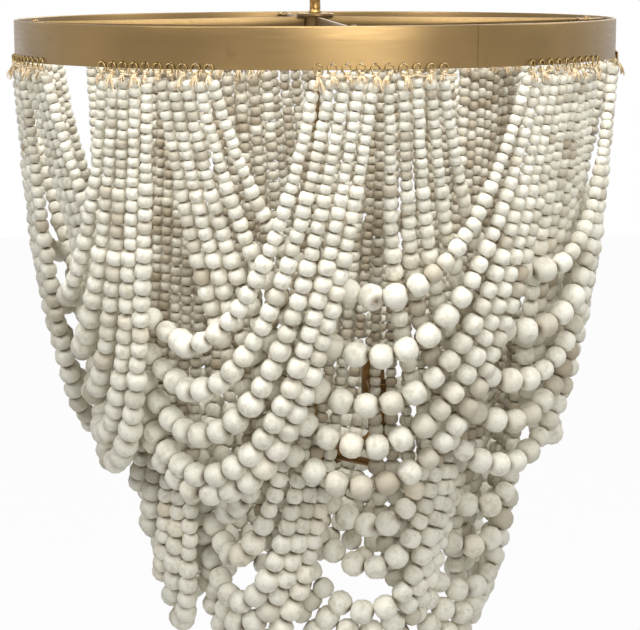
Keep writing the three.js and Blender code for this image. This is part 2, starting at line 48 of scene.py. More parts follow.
rimGap = 0.2 * mm  # the rim of the CAD band stays this far below the band's level
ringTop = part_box("top_band")[1].z + rimGap  # heights on the fixture are counted from this level
print("frame loaded,", len(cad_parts), "nodes")


def placed(name, data):
    # a new object in the scene, at the origin
    item = bpy.data.objects.new(name, data)
    scene.collection.objects.link(item)
    return item


def meshFrom(bm, name):
    mesh = bpy.data.meshes.new(name)
    bm.to_mesh(mesh)
    bm.free()
    return mesh


def baked(item):
    # a curve, or a mesh with its modifiers, as a plain bmesh; the object itself is removed
    bpy.context.view_layer.update()
    graph = bpy.context.evaluated_depsgraph_get()
    mesh = bpy.data.meshes.new_from_object(item.evaluated_get(graph))
    bpy.data.objects.remove(item)
    bm = bmesh.new()
    bm.from_mesh(mesh)
    bpy.data.meshes.remove(mesh)
    return bm


# Camera at the photograph's angle: a little above the band and tilted down
cameraPlace = {
    "lens": 116.3,
    "away": 2.135,
    "right": 0.0041,
    "aboveBand": 0.052,
    "pitchDegrees": 9.58,
    "rollDegrees": -0.18,
}


def makeCamera(place):
    data = bpy.data.cameras.new("photoCamera")
    data.lens = place["lens"]
    data.clip_end = 60
    camera = placed("photoCamera", data)
    camera.location = (place["right"], -place["away"], ringTop + place["aboveBand"])
    tilt = Matrix.Rotation(math.radians(90 - place["pitchDegrees"]), 4, "X")
    roll = Matrix.Rotation(math.radians(place["rollDegrees"]), 4, "Z")
    camera.rotation_euler = (tilt @ roll).to_euler()
    scene.camera = camera


makeCamera(cameraPlace)

# Soft studio light: a pale room, one large lamp above, two in front, one on the right and one behind
studio = {
    "roomStrength": 0.19,
    "lamps": [
        {"name": "topLamp", "at": (0.1, -1.0, 1.6), "size": 1.3, "watts": 57},
        {"name": "frontLamp", "at": (0.72, -2.5, 0.3), "size": 1.4, "watts": 28},
        {"name": "leftLamp", "at": (-2.0, -1.5, 1.3), "size": 1.0, "watts": 31},
        {"name": "rightLamp", "at": (2.1, 0.3, 0.9), "size": 1.2, "watts": 14},
        {"name": "backLamp", "at": (0.6, 2.3, 1.1), "size": 1.5, "watts": 24},
    ],
    "aim": (0, 0, -0.42),
    "floorHeight": -2.4,
    "floorSize": 30,
    "floorColour": (0.86, 0.86, 0.85, 1),
    "floorWhiteShare": 0.9,
    "floorGlow": 1.06,
}


def seenDirectly(tree):
    # 1 for what the camera sees, straight on or in metal and glass, and 0 for the light on the object
    path = tree.nodes.new("ShaderNodeLightPath")
    seen = path.outputs["Is Camera Ray"]
    for ray in ("Is Glossy Ray", "Is Transmission Ray"):
        either = tree.nodes.new("ShaderNodeMath")
        either.operation = "MAXIMUM"
        tree.links.new(seen, either.inputs[0])
        tree.links.new(path.outputs[ray], either.inputs[1])
        seen = either.outputs[0]
    return seen


def mixedShader(tree, share, below, above, outputKind):
    mix = tree.nodes.new("ShaderNodeMixShader")
    out = tree.nodes.new(outputKind)
    tree.links.new(share, mix.inputs[0])
    tree.links.new(below.outputs[0], mix.inputs[1])
    tree.links.new(above.outputs[0], mix.inputs[2])
    tree.links.new(mix.outputs[0], out.inputs["Surface"])


def glowing(tree, kind, strength):
    glow = tree.nodes.new(kind)
    glow.inputs["Color"].default_value = (1, 1, 1, 1)
    glow.inputs["Strength"].default_value = strength
    return glow


def makeStudio(plan):
    world = bpy.data.worlds.new("paleRoom")
    scene.world = world
    world.use_nodes = True
    tree = world.node_tree
    tree.nodes.clear()
    room = glowing(tree, "ShaderNodeBackground", plan["roomStrength"])
    white = glowing(tree, "ShaderNodeBackground", 1)
    mixedShader(tree, seenDirectly(tree), room, white, "ShaderNodeOutputWorld")
    for lamp in plan["lamps"]:
        data = bpy.data.lights.new(lamp["name"], "AREA")
        data.size = lamp["size"]
        data.energy = lamp["watts"]
        light = placed(lamp["name"], data)
        light.location = lamp["at"]
        towards = Vector(plan["aim"]) - Vector(lamp["at"])
        light.rotation_euler = towards.to_track_quat("-Z", "Y").to_euler()


def makeFloor(plan):
    bm = bmesh.new()
    bmesh.ops.create_grid(bm, x_segments=1, y_segments=1, size=plan["floorSize"] / 2)
    bmesh.ops.translate(bm, vec=(0, 0, plan["floorHeight"]), verts=bm.verts)
    mesh = meshFrom(bm, "floor")
    material = bpy.data.materials.new("paleFloor")
    material.use_nodes = True
    tree = material.node_tree
    tree.nodes.clear()
    matte = tree.nodes.new("ShaderNodeBsdfDiffuse")
    matte.inputs["Color"].default_value = plan["floorColour"]
    glow = glowing(tree, "ShaderNodeEmission", plan["floorGlow"])
    share = tree.nodes.new("ShaderNodeMath")
    share.operation = "MULTIPLY"
    share.inputs[1].default_value = plan["floorWhiteShare"]
    tree.links.new(seenDirectly(tree), share.inputs[0])
    mixedShader(tree, share.outputs[0], matte, glow, "ShaderNodeOutputMaterial")
    mesh.materials.append(material)
    placed("floor", mesh)


makeStudio(studio)
makeFloor(studio)
scene.view_settings.view_transform = "Standard"
print("camera and studio ready")


# Materials

def srgb(text):
    # "#rrggbb" as the linear colour that Blender's sockets take
    channels = [int(text[i:i + 2], 16) / 255 for i in (1, 3, 5)]
    linear = [c / 12.92 if c <= 0.04045 else ((c + 0.055) / 1.055) ** 2.4 for c in channels]
    return (*linear, 1)


def newMaterial(name):
    material = bpy.data.materials.new(name)
    material.use_nodes = True
    tree = material.node_tree
    shader = tree.nodes["Principled BSDF"]
    return material, tree, shader


def objectPlace(tree):
    return tree.nodes.new("ShaderNodeTexCoord").outputs["Object"]


def attribute(tree, name, output):
    source = tree.nodes.new("ShaderNodeAttribute")
    source.attribute_name = name
    return source.outputs[output]


def stretched(tree, place, scale):
    mapping = tree.nodes.new("ShaderNodeMapping")
    mapping.inputs["Scale"].default_value = scale
    tree.links.new(place, mapping.inputs["Vector"])
    return mapping.outputs["Vector"]


def noiseOn(tree, place, scale, detail=3, roughness=0.55):
    noise = tree.nodes.new("ShaderNodeTexNoise")
    noise.inputs["Scale"].default_value = scale
    noise.inputs["Detail"].default_value = detail
    noise.inputs["Roughness"].default_value = roughness
    tree.links.new(place, noise.inputs["Vector"])
    return noise.outputs["Fac"]


def spread(tree, value, low, high, toLow, toHigh):
    ramp = tree.nodes.new("ShaderNodeMapRange")
    for name, number in zip(("From Min", "From Max", "To Min", "To Max"), (low, high, toLow, toHigh)):
        ramp.inputs[name].default_value = number
    tree.links.new(value, ramp.inputs["Value"])
    return ramp.outputs["Result"]


def stops(tree, value, points):
    ramp = tree.nodes.new("ShaderNodeValToRGB")
    marks = ramp.color_ramp.elements
    while len(marks) < len(points):
        marks.new(0.5)
    for mark, (place, colour) in zip(marks, points):
        mark.position = place
        mark.color = srgb(colour)
    tree.links.new(value, ramp.inputs["Fac"])
    return ramp.outputs["Color"]


def tinted(tree, below, tint, share):
    mix = tree.nodes.new("ShaderNodeMix")
    mix.data_type = "RGBA"
    tree.links.new(share, mix.inputs["Factor"])
    tree.links.new(below, mix.inputs["A"])
    mix.inputs["B"].default_value = srgb(tint)
    return mix.outputs["Result"]


def bumped(tree, shader, heights):
    # heights are (socket, (strength, distance)), each on top of the one before
    normal = None
    for height, (strength, distance) in heights:
        bump = tree.nodes.new("ShaderNodeBump")
        bump.inputs["Strength"].default_value = strength
        bump.inputs["Distance"].default_value = distance
        tree.links.new(height, bump.inputs["Height"])
        if normal:
            tree.links.new(normal, bump.inputs["Normal"])
        normal = bump.outputs["Normal"]
    tree.links.new(normal, shader.inputs["Normal"])


def surfaced(tree, shader, colour, metallic, dull):
    tree.links.new(colour, shader.inputs["Base Color"])
    shader.inputs["Metallic"].default_value = metallic
    tree.links.new(dull, shader.inputs["Roughness"])


beadFinish = {
    "tones": [
        (0.0, "#b3a68f"), (0.14, "#c9c0ac"), (0.28, "#dcd7c6"), (0.44, "#edeadb"),
        (0.68, "#f7f3e4"), (0.88, "#f2ebd8"), (1.0, "#e6dbc2"),
    ],
    "blotch": "#bab19a",
    "blotchShare": 0.6,
    "blotchScale": 1.1,
    "blotchSpread": (0.5, 0.72),
    "grain": "#9c8b6e",
    "grainShare": 0.5,
    "grainScale": 1.6,
    "grainSpread": (0.55, 0.78),
    "grainStretch": (5.5, 5.5, 0.9),
    "grainBump": (0.35, 0.0003),
    "fineScale": 9,
    "fineBump": (0.3, 0.0002),
    # painted shade: the bead ends turn darker and browner towards the holes, for the crevices where
    # neighbouring beads meet
    "paintedEndShade": "#755b36",
    "paintedEndShadeShare": 0.9,
    "paintedEndShadeFrom": 0.3,
    "roughness": (0.52, 0.74),
}


def beadMaterial(finish):
    material, tree, shader = newMaterial("whitewashed_wood")
    place = attribute(tree, "beadPlace", "Vector")
    colour = stops(tree, attribute(tree, "beadTone", "Fac"), finish["tones"])
    blotches = noiseOn(tree, place, finish["blotchScale"])
    thin = spread(tree, blotches, *finish["blotchSpread"], 0, finish["blotchShare"])
    colour = tinted(tree, colour, finish["blotch"], thin)
    along = stretched(tree, place, finish["grainStretch"])
    grain = noiseOn(tree, along, finish["grainScale"], 4, 0.6)
    streaks = spread(tree, grain, *finish["grainSpread"], 0, finish["grainShare"])
    colour = tinted(tree, colour, finish["grain"], streaks)
    # painted shade: darker and browner towards the hole at each end, for the crevices between neighbouring
    # beads
    end = attribute(tree, "beadEnd", "Fac")
    endShading = spread(tree, end, finish["paintedEndShadeFrom"], 1, 0, finish["paintedEndShadeShare"])
    colour = tinted(tree, colour, finish["paintedEndShade"], endShading)
    surfaced(tree, shader, colour, 0, spread(tree, blotches, 0.3, 0.7, *finish["roughness"]))
    fine = noiseOn(tree, place, finish["fineScale"])
    bumped(tree, shader, [(grain, finish["grainBump"]), (fine, finish["fineBump"])])
    return material


brassFinish = {
    "light": "#977d54",
    "base": "#88704b",
    "dark": "#776240",
    "tarnish": "#5c4a2e",
    "tarnishShare": 0.3,
    "tarnishSpread": (0.62, 0.85),
    "tarnishScale": 60,
    "cloudScale": 5,
    "cloudBump": (0.05, 0.002),
    "lineBump": (0.12, 0.0001),
    "roughness": (0.28, 0.42),
}
# a lighter copy of the brass for the jump rings: painted highlight, the brightness that the thin wire
# shows
wireFinish = {
    **brassFinish,
    "light": "#b39c6c",
    "base": "#9c8658",
    "dark": "#806b42",
    "tarnish": "#5b4829",
    "roughness": (0.36, 0.5),
}


def brassMaterial(name, finish, brushed):
    # brushed is the scale of the brushing lines on each axis
    material, tree, shader = newMaterial(name)
    place = objectPlace(tree)
    cloud = noiseOn(tree, place, finish["cloudScale"], 2)
    colour = stops(tree, cloud, [(0.3, finish["dark"]), (0.5, finish["base"]), (0.7, finish["light"])])
    spots = noiseOn(tree, place, finish["tarnishScale"], 2)
    aged = spread(tree, spots, *finish["tarnishSpread"], 0, finish["tarnishShare"])
    colour = tinted(tree, colour, finish["tarnish"], aged)
    lines = noiseOn(tree, stretched(tree, place, brushed), 1, 3, 0.65)
    surfaced(tree, shader, colour, 1, spread(tree, lines, 0.3, 0.7, *finish["roughness"]))
    bumped(tree, shader, [(lines, finish["lineBump"]), (cloud, finish["cloudBump"])])
    return material


stemFinish = {
    "light": "#bb965a",
    "base": "#94713f",
    "cloudScale": 180,
    "cloudBump": (0.2, 0.0003),
    "mark": "#3d2a18",
    "markShare": 0.85,
    "markSpread": (0.45, 0.8),
    "markScale": (260, 260, 150),
    "dentBump": (0.6, 0.0008),
    "roughness": 0.4,
}


def stemMaterial(finish):
    # hammered brass with dark marks in the dents
    material, tree, shader = newMaterial("hammered_brass")
    place = objectPlace(tree)
    voronoi = tree.nodes.new("ShaderNodeTexVoronoi")
    voronoi.inputs["Scale"].default_value = 1
    tree.links.new(stretched(tree, place, finish["markScale"]), voronoi.inputs["Vector"])
    dents = voronoi.outputs["Distance"]
    cloud = noiseOn(tree, place, finish["cloudScale"])
    colour = stops(tree, cloud, [(0.35, finish["base"]), (0.65, finish["light"])])
    marks = spread(tree, dents, *finish["markSpread"], 0, finish["markShare"])
    tree.links.new(tinted(tree, colour, finish["mark"], marks), shader.inputs["Base Color"])
    shader.inputs["Metallic"].default_value = 1
    shader.inputs["Roughness"].default_value = finish["roughness"]
    bumped(tree, shader, [(dents, finish["dentBump"]), (cloud, finish["cloudBump"])])
    return material


bronzeFinish = {
    "tones": [(0.34, "#4a341d"), (0.5, "#7d5d33"), (0.68, "#a07c47")],
    "cloudScale": 35,
    "cloudBump": (0.15, 0.0006),
    "fineScale": 700,
    "fineBump": (0.12, 0.0001),
    "metallic": 0.85,
    "roughness": (0.5, 0.36),
}
steelFinish = {
    "tones": [(0.35, "#8f8f8b"), (0.65, "#b5b4ae")],
    "cloudScale": 60,
    "fineScale": 720,
    "fineBump": (0.15, 0.0001),
    "metallic": 1,
    "roughness": (0.45, 0.31),
}
phenolicFinish = {
    "tones": [(0.35, "#0d0c0b"), (0.65, "#1d1b19")],
    "cloudScale": 90,
    "fineScale": 1080,
    "fineBump": (0.2, 0.0001),
    "metallic": 0,
    "roughness": (0.57, 0.43),
}
juteFinish = {
    "tones": [(0.35, "#c9a97a"), (0.65, "#eddfc0")],
    "cloudScale": 420,
    "fineScale": 5040,
    "fineBump": (0.8, 0.0001),
    "metallic": 0,
    "roughness": (0.97, 0.83),
}


def mottledMaterial(name, finish):
    # soft clouds of tone under a fine grain
    material, tree, shader = newMaterial(name)
    place = objectPlace(tree)
    cloud = noiseOn(tree, place, finish["cloudScale"], 4)
    colour = stops(tree, cloud, finish["tones"])
    dull = spread(tree, cloud, 0.3, 0.7, *finish["roughness"])
    surfaced(tree, shader, colour, finish["metallic"], dull)
    heights = [(noiseOn(tree, place, finish["fineScale"], 2), finish["fineBump"])]
    if "cloudBump" in finish:
        heights.insert(0, (cloud, finish["cloudBump"]))
    bumped(tree, shader, heights)
    return material


wood = beadMaterial(beadFinish)
brass = brassMaterial("satin_brass_turned", brassFinish, (25, 25, 900))
brassDrawn = brassMaterial("satin_brass_drawn", brassFinish, (300, 300, 300))
wireBrass = brassMaterial("brass_wire_painted_highlight", wireFinish, (300, 300, 300))
stemBrass = stemMaterial(stemFinish)
bronze = mottledMaterial("aged_bronze_paint", bronzeFinish)
steel = mottledMaterial("zinc_plate", steelFinish)
blackInsert = mottledMaterial("black_phenolic", phenolicFinish)
jute = mottledMaterial("natural_twine", juteFinish)
print("materials ready")


# Making and placing pieces. Shapes are drawn in millimetres and scaled when they are finished.

def moved(bm, matrix):
    bmesh.ops.transform(bm, matrix=matrix, verts=bm.verts)
    return bm


def finishPiece(name, bm, material, nodes=(), level=ringTop, body="fixture", sharpDegrees=38):
    # level is the height, in metres, of the drawing's zero
    moved(bm, Matrix.Translation((0, 0, level)) @ Matrix.Scale(mm, 4))
    mesh = meshFrom(bm, name)
    mesh.materials.append(material)
    mesh.shade_smooth()
    if sharpDegrees:
        mesh.set_sharp_from_angle(angle=math.radians(sharpDegrees))
    piece = placed(name, mesh)
    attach(piece, body)
    if nodes:
        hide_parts(*nodes)
    return piece


def dressNode(node, ending, bm, material, **rest):
    # a finished piece that stands for one CAD node
    return finishPiece(f"{node}_{ending}", bm, material, (node,), **rest)


def vertsIn(geometry):
    return [g for g in geometry if isinstance(g, bmesh.types.BMVert)]


def facesIn(geometry):
    return [g for g in geometry if isinstance(g, bmesh.types.BMFace)]


def addInto(whole, part):
    mesh = meshFrom(part, "part")
    whole.from_mesh(mesh)
    bpy.data.meshes.remove(mesh)


def spun(profile, steps, closed=False):
    # profile is a list of (radius, height); a closed one makes a ring
    bm = bmesh.new()
    corners = [bm.verts.new((radius, 0, height)) for radius, height in profile]
    following = corners[1:] + corners[:1] if closed else corners[1:]
    lines = [bm.edges.new(pair) for pair in zip(corners, following)]
    bmesh.ops.spin(
        bm, geom=corners + lines, cent=(0, 0, 0), axis=(0, 0, 1),
        angle=2 * math.pi, steps=steps, use_merge=True,
    )
    bmesh.ops.remove_doubles(bm, verts=bm.verts, dist=1e-4)
    bmesh.ops.recalc_face_normals(bm, faces=bm.faces)
    return bm


def roundedOff(bm, rounding, segments=2):
    bmesh.ops.bevel(
        bm, geom=bm.edges[:], offset=rounding, segments=segments, profile=0.5,
        affect="EDGES", material=-1, clamp_overlap=True,
    )
    return bm


def block(size, centre, rounding, segments=2):
    bm = bmesh.new()
    bmesh.ops.create_cube(bm, size=1, matrix=Matrix.Translation(centre) @ Matrix.Diagonal((*size, 1)))
    return roundedOff(bm, rounding, segments)


def wireLoop(bendRadius, straight, wireRadius, bendSteps=14, sides=12):
    # a long ring of round wire in the XZ plane, centred on the origin
    bm = bmesh.new()
    start = Matrix.Translation((bendRadius, 0, straight / 2))
    bmesh.ops.create_circle(bm, segments=sides, radius=wireRadius, cap_ends=False, matrix=start)
    last = bm.verts[:] + bm.edges[:]
    if straight == 0:
        bmesh.ops.spin(
            bm, geom=last, cent=(0, 0, 0), axis=(0, 1, 0), angle=2 * math.pi,
            steps=2 * bendSteps, use_merge=True,
        )
    else:
        for end in (1, -1):
            turned = bmesh.ops.spin(
                bm, geom=last, cent=(0, 0, end * straight / 2), axis=(0, -1, 0),
                angle=math.pi, steps=bendSteps, use_merge=False,
            )
            edges = [g for g in turned["geom_last"] if isinstance(g, bmesh.types.BMEdge)]
            pulled = bmesh.ops.extrude_edge_only(bm, edges=edges)["geom"]
            bmesh.ops.translate(bm, vec=(0, 0, -end * straight), verts=vertsIn(pulled))
            last = [g for g in pulled if not isinstance(g, bmesh.types.BMFace)]
    bmesh.ops.remove_doubles(bm, verts=bm.verts, dist=1e-3)
    bmesh.ops.recalc_face_normals(bm, faces=bm.faces)
    return bm


def arc(centre, radiusX, radiusZ, fromDegrees, toDegrees, count):
    # points of a round profile from one angle to another
    points = []
    for i in range(count + 1):
        angle = math.radians(fromDegrees + (toDegrees - fromDegrees) * i / count)
        x = centre[0] + radiusX * math.cos(angle)
        points.append((x, centre[1] + radiusZ * math.sin(angle)))
    return points


def drilled(name, body, cutters):
    # the body with the cutters' shapes taken out of it
    whole, tool = [placed(name, meshFrom(bm, name)) for bm in (body, cutters)]
    holes = whole.modifiers.new("holes", "BOOLEAN")
    holes.operation = "DIFFERENCE"
    holes.solver = "EXACT"
    holes.object = tool
    bm = baked(whole)
    bpy.data.objects.remove(tool)
    return bm


screwForm = {
    "domeSteps": 5,
    "steps": 20,
    "slotLength": 1.1,  # slots are given as shares of the head's radius
    "slotWidth": 0.24,
    "slotEdge": 0.05,
}


def screwShape(headRadius, headHeight, shankRadius, shankLength):
    # a domed head with a cross slot, cut one way and then the other, and its shank
    dome = arc((0, 0), headRadius, headHeight, 0, 90, screwForm["domeSteps"])
    dome[-1] = (0, headHeight)
    profile = [(0, -shankLength), (shankRadius, -shankLength), (shankRadius, 0), *dome]
    bm = spun(profile, screwForm["steps"])
    long, narrow = headRadius * screwForm["slotLength"], headRadius * screwForm["slotWidth"]
    for size in ((long, narrow), (narrow, long)):
        cutter = block((*size, headHeight), (0, 0, headHeight), screwForm["slotEdge"], 1)
        bm = drilled("screw", bm, cutter)
    return bm


# Bead strands. Each hangs as a chain between its two rings, passes inside its neighbours where it leaves
# and outside them where it arrives. Slack lengthens a swag and lean draws it inwards as it falls.
tiers = {
    "upper": {
        "node": "upper_swag",
        "clusters": [11.35, 51.35, 91.35, 124.68, 158.02, 191.35, 224.68, 258.02, 291.35, 331.35],
        "ringDegrees": 2.4,  # from one ring to the next
        "ringRadius": 303.5,
        "drops": [209, 266, 315, 356, 396],  # one for each strand
        "slack": [0, -0.05, -0.031, -0.014, -0.01, -0.002, 0, 0, 0.1, 0.24],  # one a swag
        "lean": [0, -0.019, 0, -0.005, -0.005, 0.013, 0.035, 0.051, 0.043, 0.024],
        "fixedRuns": [108, 65],  # length in the smallest beads, and in the next size
        "inside": (19, 4),  # how far the innermost strand goes, and more for each further one
        "outside": (3.1, 3),  # the same on the other side, from the outermost strand
        "weavePower": (0.63, 0.2),  # a higher value weaves nearer to the rings; the second is per strand
        "hangHeight": -38.5,  # where the strands start
        "tones": [0.46, 0.47, 0.5, 0.5, 0.52],  # one for each size of bead
    },
    "lower": {
        "node": "lower_swag",
        "clusters": [16, 61, 106, 151, 196, 241, 286, 331],
        "ringDegrees": 3.58,
        "ringRadius": 205,
        "drops": [446, 492, 540, 565, 590],
        "slack": [0.01, 0.016, 0.01, 0.015, -0.01, -0.02, -0.02, -0.014],
        "lean": [-0.014, -0.026, -0.032, -0.022, -0.006, 0, 0, -0.005],
        "fixedRuns": [344, 55],
        "inside": (25, 3.3),
        "outside": (6.5, 2.7),
        "weavePower": (0.65, 0.2),
        "hangHeight": -36,
        # painted shade: this tier's small beads are darker and browner, for the strands hanging in the
        # shade inside the fixture
        "tones": [0.17, 0.27, 0.46, 0.5, 0.52],
    },
}
strands = {
    "count": 5,
    "slackTaken": [1, 0.6, 0.45, 0.4, 0.15],  # each strand's share of the swag's slack
    "lastRuns": [0.42, 0.3, 0.28],  # shares of the rest for the three largest sizes
    "neck": 9.5,  # bare twine above the first bead
    "neckSpread": (-2.2, 3.4),
    "samples": 320,
    "looseness": 1.006,
    "toneByStrand": 0.08,
    "toneByBead": 0.145,
}
beads = {  # lists hold one value for each size
    "diameters": [11.6, 14.4, 17.6, 21.5, 25],
    "lengthShares": [0.8, 0.86, 0.92, 0.95, 0.96],
    "fullness": [3.0, 2.8, 2.5, 2.3, 2.2],
    "holeShares": [0.2, 0.17, 0.14, 0.12, 0.11],
    "holeFlare": 0.75,
    "sides": [9, 10, 10, 11, 12],
    "bands": 6,
    "sizeJitter": 0.045,
    "tiltDegrees": 7,
    "shift": 0.35,
    "grainShift": 60,
}
draws = random.Random(41)


def beadShape(size):
    # a drilled bead along Z, one unit in radius, with a small hollow at each hole
    diameter = beads["diameters"][size]
    half = beads["lengthShares"][size]
    power = 2 / beads["fullness"][size]
    hole = beads["holeShares"][size]
    steep = math.acos(hole ** (1 / power))
    rows = []
    for i in range(beads["bands"] + 1):
        angle = -steep + 2 * steep * i / beads["bands"]
        height = abs(math.sin(angle)) ** power * half
        rows.append((math.cos(angle) ** power, math.copysign(height, angle)))
    sunk = rows[-1][1] - hole
    mouth = hole * beads["holeFlare"]
    profile = [(mouth, -sunk), *rows, (mouth, sunk)]
    bm = spun(profile, beads["sides"][size])
    bmesh.ops.holes_fill(bm, edges=[e for e in bm.edges if e.is_boundary], sides=0)
    bmesh.ops.recalc_face_normals(bm, faces=bm.faces)
    mesh = meshFrom(bm, f"bead{size}")
    points = np.array([v.co for v in mesh.vertices])
    place = mesh.attributes.new("beadPlace", "FLOAT_VECTOR", "POINT")
    place.data.foreach_set("vector", points.astype(np.float32).ravel())
    end = mesh.attributes.new("beadEnd", "FLOAT", "POINT")
    reach = 1 - np.hypot(points[:, 0], points[:, 1])
    end.data.foreach_set("value", reach.astype(np.float32))
    mesh.transform(Matrix.Scale(diameter / 2, 4))
    return mesh


def swagReach(tier, number):
    # the middle of a swag and half the angle between the clusters on either side of its own
    clusters = tier["clusters"]
    before = clusters[number - 1]
    half = (clusters[(number + 1) % len(clusters)] - before) % 360 / 2
    return before + half, half


def strandLine(tier, number, strand):
    # points of one strand from its first ring to its last, in millimetres from the band's level
    middle, half = swagReach(tier, number)
    span = math.radians(half - tier["ringDegrees"] * (strands["count"] - 0.5 - strand))
    halfWidth = tier["ringRadius"] * math.sin(span)
    planeDistance = tier["ringRadius"] * math.cos(span)
    drop = tier["drops"][strand] * (1 + tier["slack"][number] * strands["slackTaken"][strand])
    low, high = 0.01, 10.0
    for _ in range(50):  # narrows down the curve of a chain that falls this far
        flatness = (low + high) / 2
        if (math.cosh(flatness) - 1) / flatness < drop / halfWidth:
            low = flatness
        else:
            high = flatness
    across = np.linspace(-1, 1, strands["samples"])
    sag = drop * (1 - (np.cosh(flatness * across) - 1) / (math.cosh(flatness) - 1))
    inside = tier["inside"][0] + tier["inside"][1] * strand
    outside = tier["outside"][0] + tier["outside"][1] * (strands["count"] - 1 - strand)
    power = tier["weavePower"][0] + tier["weavePower"][1] * strand
    weave = np.sin(np.pi * np.abs(across) ** power)
    offset = np.where(across < 0, -inside, outside) * weave
    turn = math.radians(middle)
    x = halfWidth * across
    y = tier["lean"][number] * sag - planeDistance - offset
    points = np.stack([
        x * math.cos(turn) - y * math.sin(turn),
        x * math.sin(turn) + y * math.cos(turn),
        tier["hangHeight"] - sag,
    ], axis=1)
    return points


def beadSequence(half, tier, centred, neck):
    # sizes of the beads from a ring to the middle, their spread to fill the half strand, and their pitches
    pitches = [d * s for d, s in zip(beads["diameters"], beads["lengthShares"])]
    room = half - neck - (pitches[-1] / 2 if centred else 0)
    first, second = tier["fixedRuns"]
    rest = half - first - second
    runs = [first - neck, second, *[share * rest for share in strands["lastRuns"]]]
    counts = [max(1, round(run / pitch)) for run, pitch in zip(runs, pitches)]
    best = None
    for a in (-1, 0, 1):
        for b in (-1, 0, 1):
            for c in (-1, 0, 1, 2):
                tried = [counts[0], counts[1], counts[2] + a, counts[3] + b, counts[4] + c]
                filled = sum(n * p for n, p in zip(tried, pitches))
                miss = abs(room / filled - strands["looseness"]) if min(tried) > 0 else 9
                if best is None or miss < best[0]:
                    best = (miss, tried, room / filled)
    sizes = [size for size, n in enumerate(best[1]) for _ in range(n)]
    return sizes, best[2], pitches


def beadSpots(line, tier, centred, neck):
    # (size, centre, direction) for every bead on a strand
    steps = np.linalg.norm(np.diff(line, axis=0), axis=1)
    run = np.concatenate([[0], np.cumsum(steps)])
    sizes, stretch, pitches = beadSequence(run[-1] / 2, tier, centred, neck)
    distances = []
    at = neck
    for size in sizes:
        distances.append(at + pitches[size] * stretch / 2)
        at += pitches[size] * stretch
    order = list(zip(sizes, distances))
    middle = [(len(pitches) - 1, run[-1] / 2)] if centred else []
    order = order + middle + [(size, run[-1] - d) for size, d in reversed(order)]
    spots = []
    for size, distance in order:
        here, ahead, behind = [
            Vector([np.interp(distance + step, run, line[:, k]) for k in range(3)]) for step in (0, 1, -1)
        ]
        spots.append((size, here, (ahead - behind).normalized()))
    return spots


def addCopy(bm, shape, matrix):
    # gives the number of vertices it adds
    first = len(bm.verts)
    bm.from_mesh(shape)
    bm.verts.ensure_lookup_table()
    bmesh.ops.transform(bm, matrix=matrix, verts=bm.verts[first:])
    return len(bm.verts) - first


def addBead(bm, shape, spot, direction):
    tilt = math.radians(draws.gauss(0, beads["tiltDegrees"]))
    grow = 1 + draws.uniform(-1, 1) * beads["sizeJitter"]
    aside = Vector([draws.gauss(0, beads["shift"]) for _ in range(3)])
    matrix = (
        Matrix.Translation(spot + aside)
        @ direction.to_track_quat("Z", "Y").to_matrix().to_4x4()
        @ Matrix.Rotation(draws.uniform(0, 2 * math.pi), 4, "Z")
        @ Matrix.Rotation(tilt, 4, "X")
        @ Matrix.Diagonal((grow, grow, 1, 1))
    )
    return addCopy(bm, shape, matrix)


# Twine: a core through the beads, a knot under each ring and loose frayed ends
twine = {
    "coreRadius": 0.9,
    "knotRadius": 2.2,
    "knotWire": 1.25,
    "knotBelow": 1,
    "knotTurns": 2.25,
    "knotHeight": 0.7,  # as a share of its radius
    "knotSteps": 12,
    "tailRadius": 0.85,
    "tailLengths": (8, 21),
    "tailShare": 0.8,
    "tailLean": 0.4,
    "tailOutward": (0.5, 0.9),
    "tailDown": 0.6,
    "tailBend": (0.4, 0.1, 0.5),  # downwards, inwards, and how far the fibres go on spreading
    "fibres": 10,
    "fibreRadius": 0.58,
    "fibreSplay": (0.22, 0.14),  # sideways, outwards
    "fibreShares": (0.55, 1),
    "fibreAside": 0.7,
    "fibreTaper": [1, 1, 0.95, 0.8, 0.5],
    "runShare": 0.45,
    "runSag": 2.2,
    "runWave": 0.4,
    "runProud": 1.2,
    "runSteps": 4,
}
rings = {
    "radius": 4.1,
    "wire": 0.66,
    "above": 0.9,
    "forward": 3.1,
    "dip": 4.2,
    "dipDegrees": 24,
    "turnDegrees": 9,
    "jitterDegrees": 7,
    "sides": 6,
    "steps": 20,
    "holeAbove": 5.1,
}


def addThread(curve, points, radii):
    spline = curve.splines.new("POLY")
    spline.points.add(len(points) - 1)
    for point, place, radius in zip(spline.points, points, radii):
        point.co = (*place, 1)
        point.radius = radius


def addKnot(curve, centre):
    radius, steps = twine["knotRadius"], twine["knotSteps"]
    phase = draws.uniform(0, 6)
    points = []
    for i in range(steps + 1):
        angle = phase + 2 * math.pi * twine["knotTurns"] * i / steps
        height = math.sin(3 * math.pi * i / steps) * radius * twine["knotHeight"]
        points.append(centre + Vector((radius * math.cos(angle), radius * math.sin(angle), height)))
    addThread(curve, points, [twine["knotWire"]] * len(points))


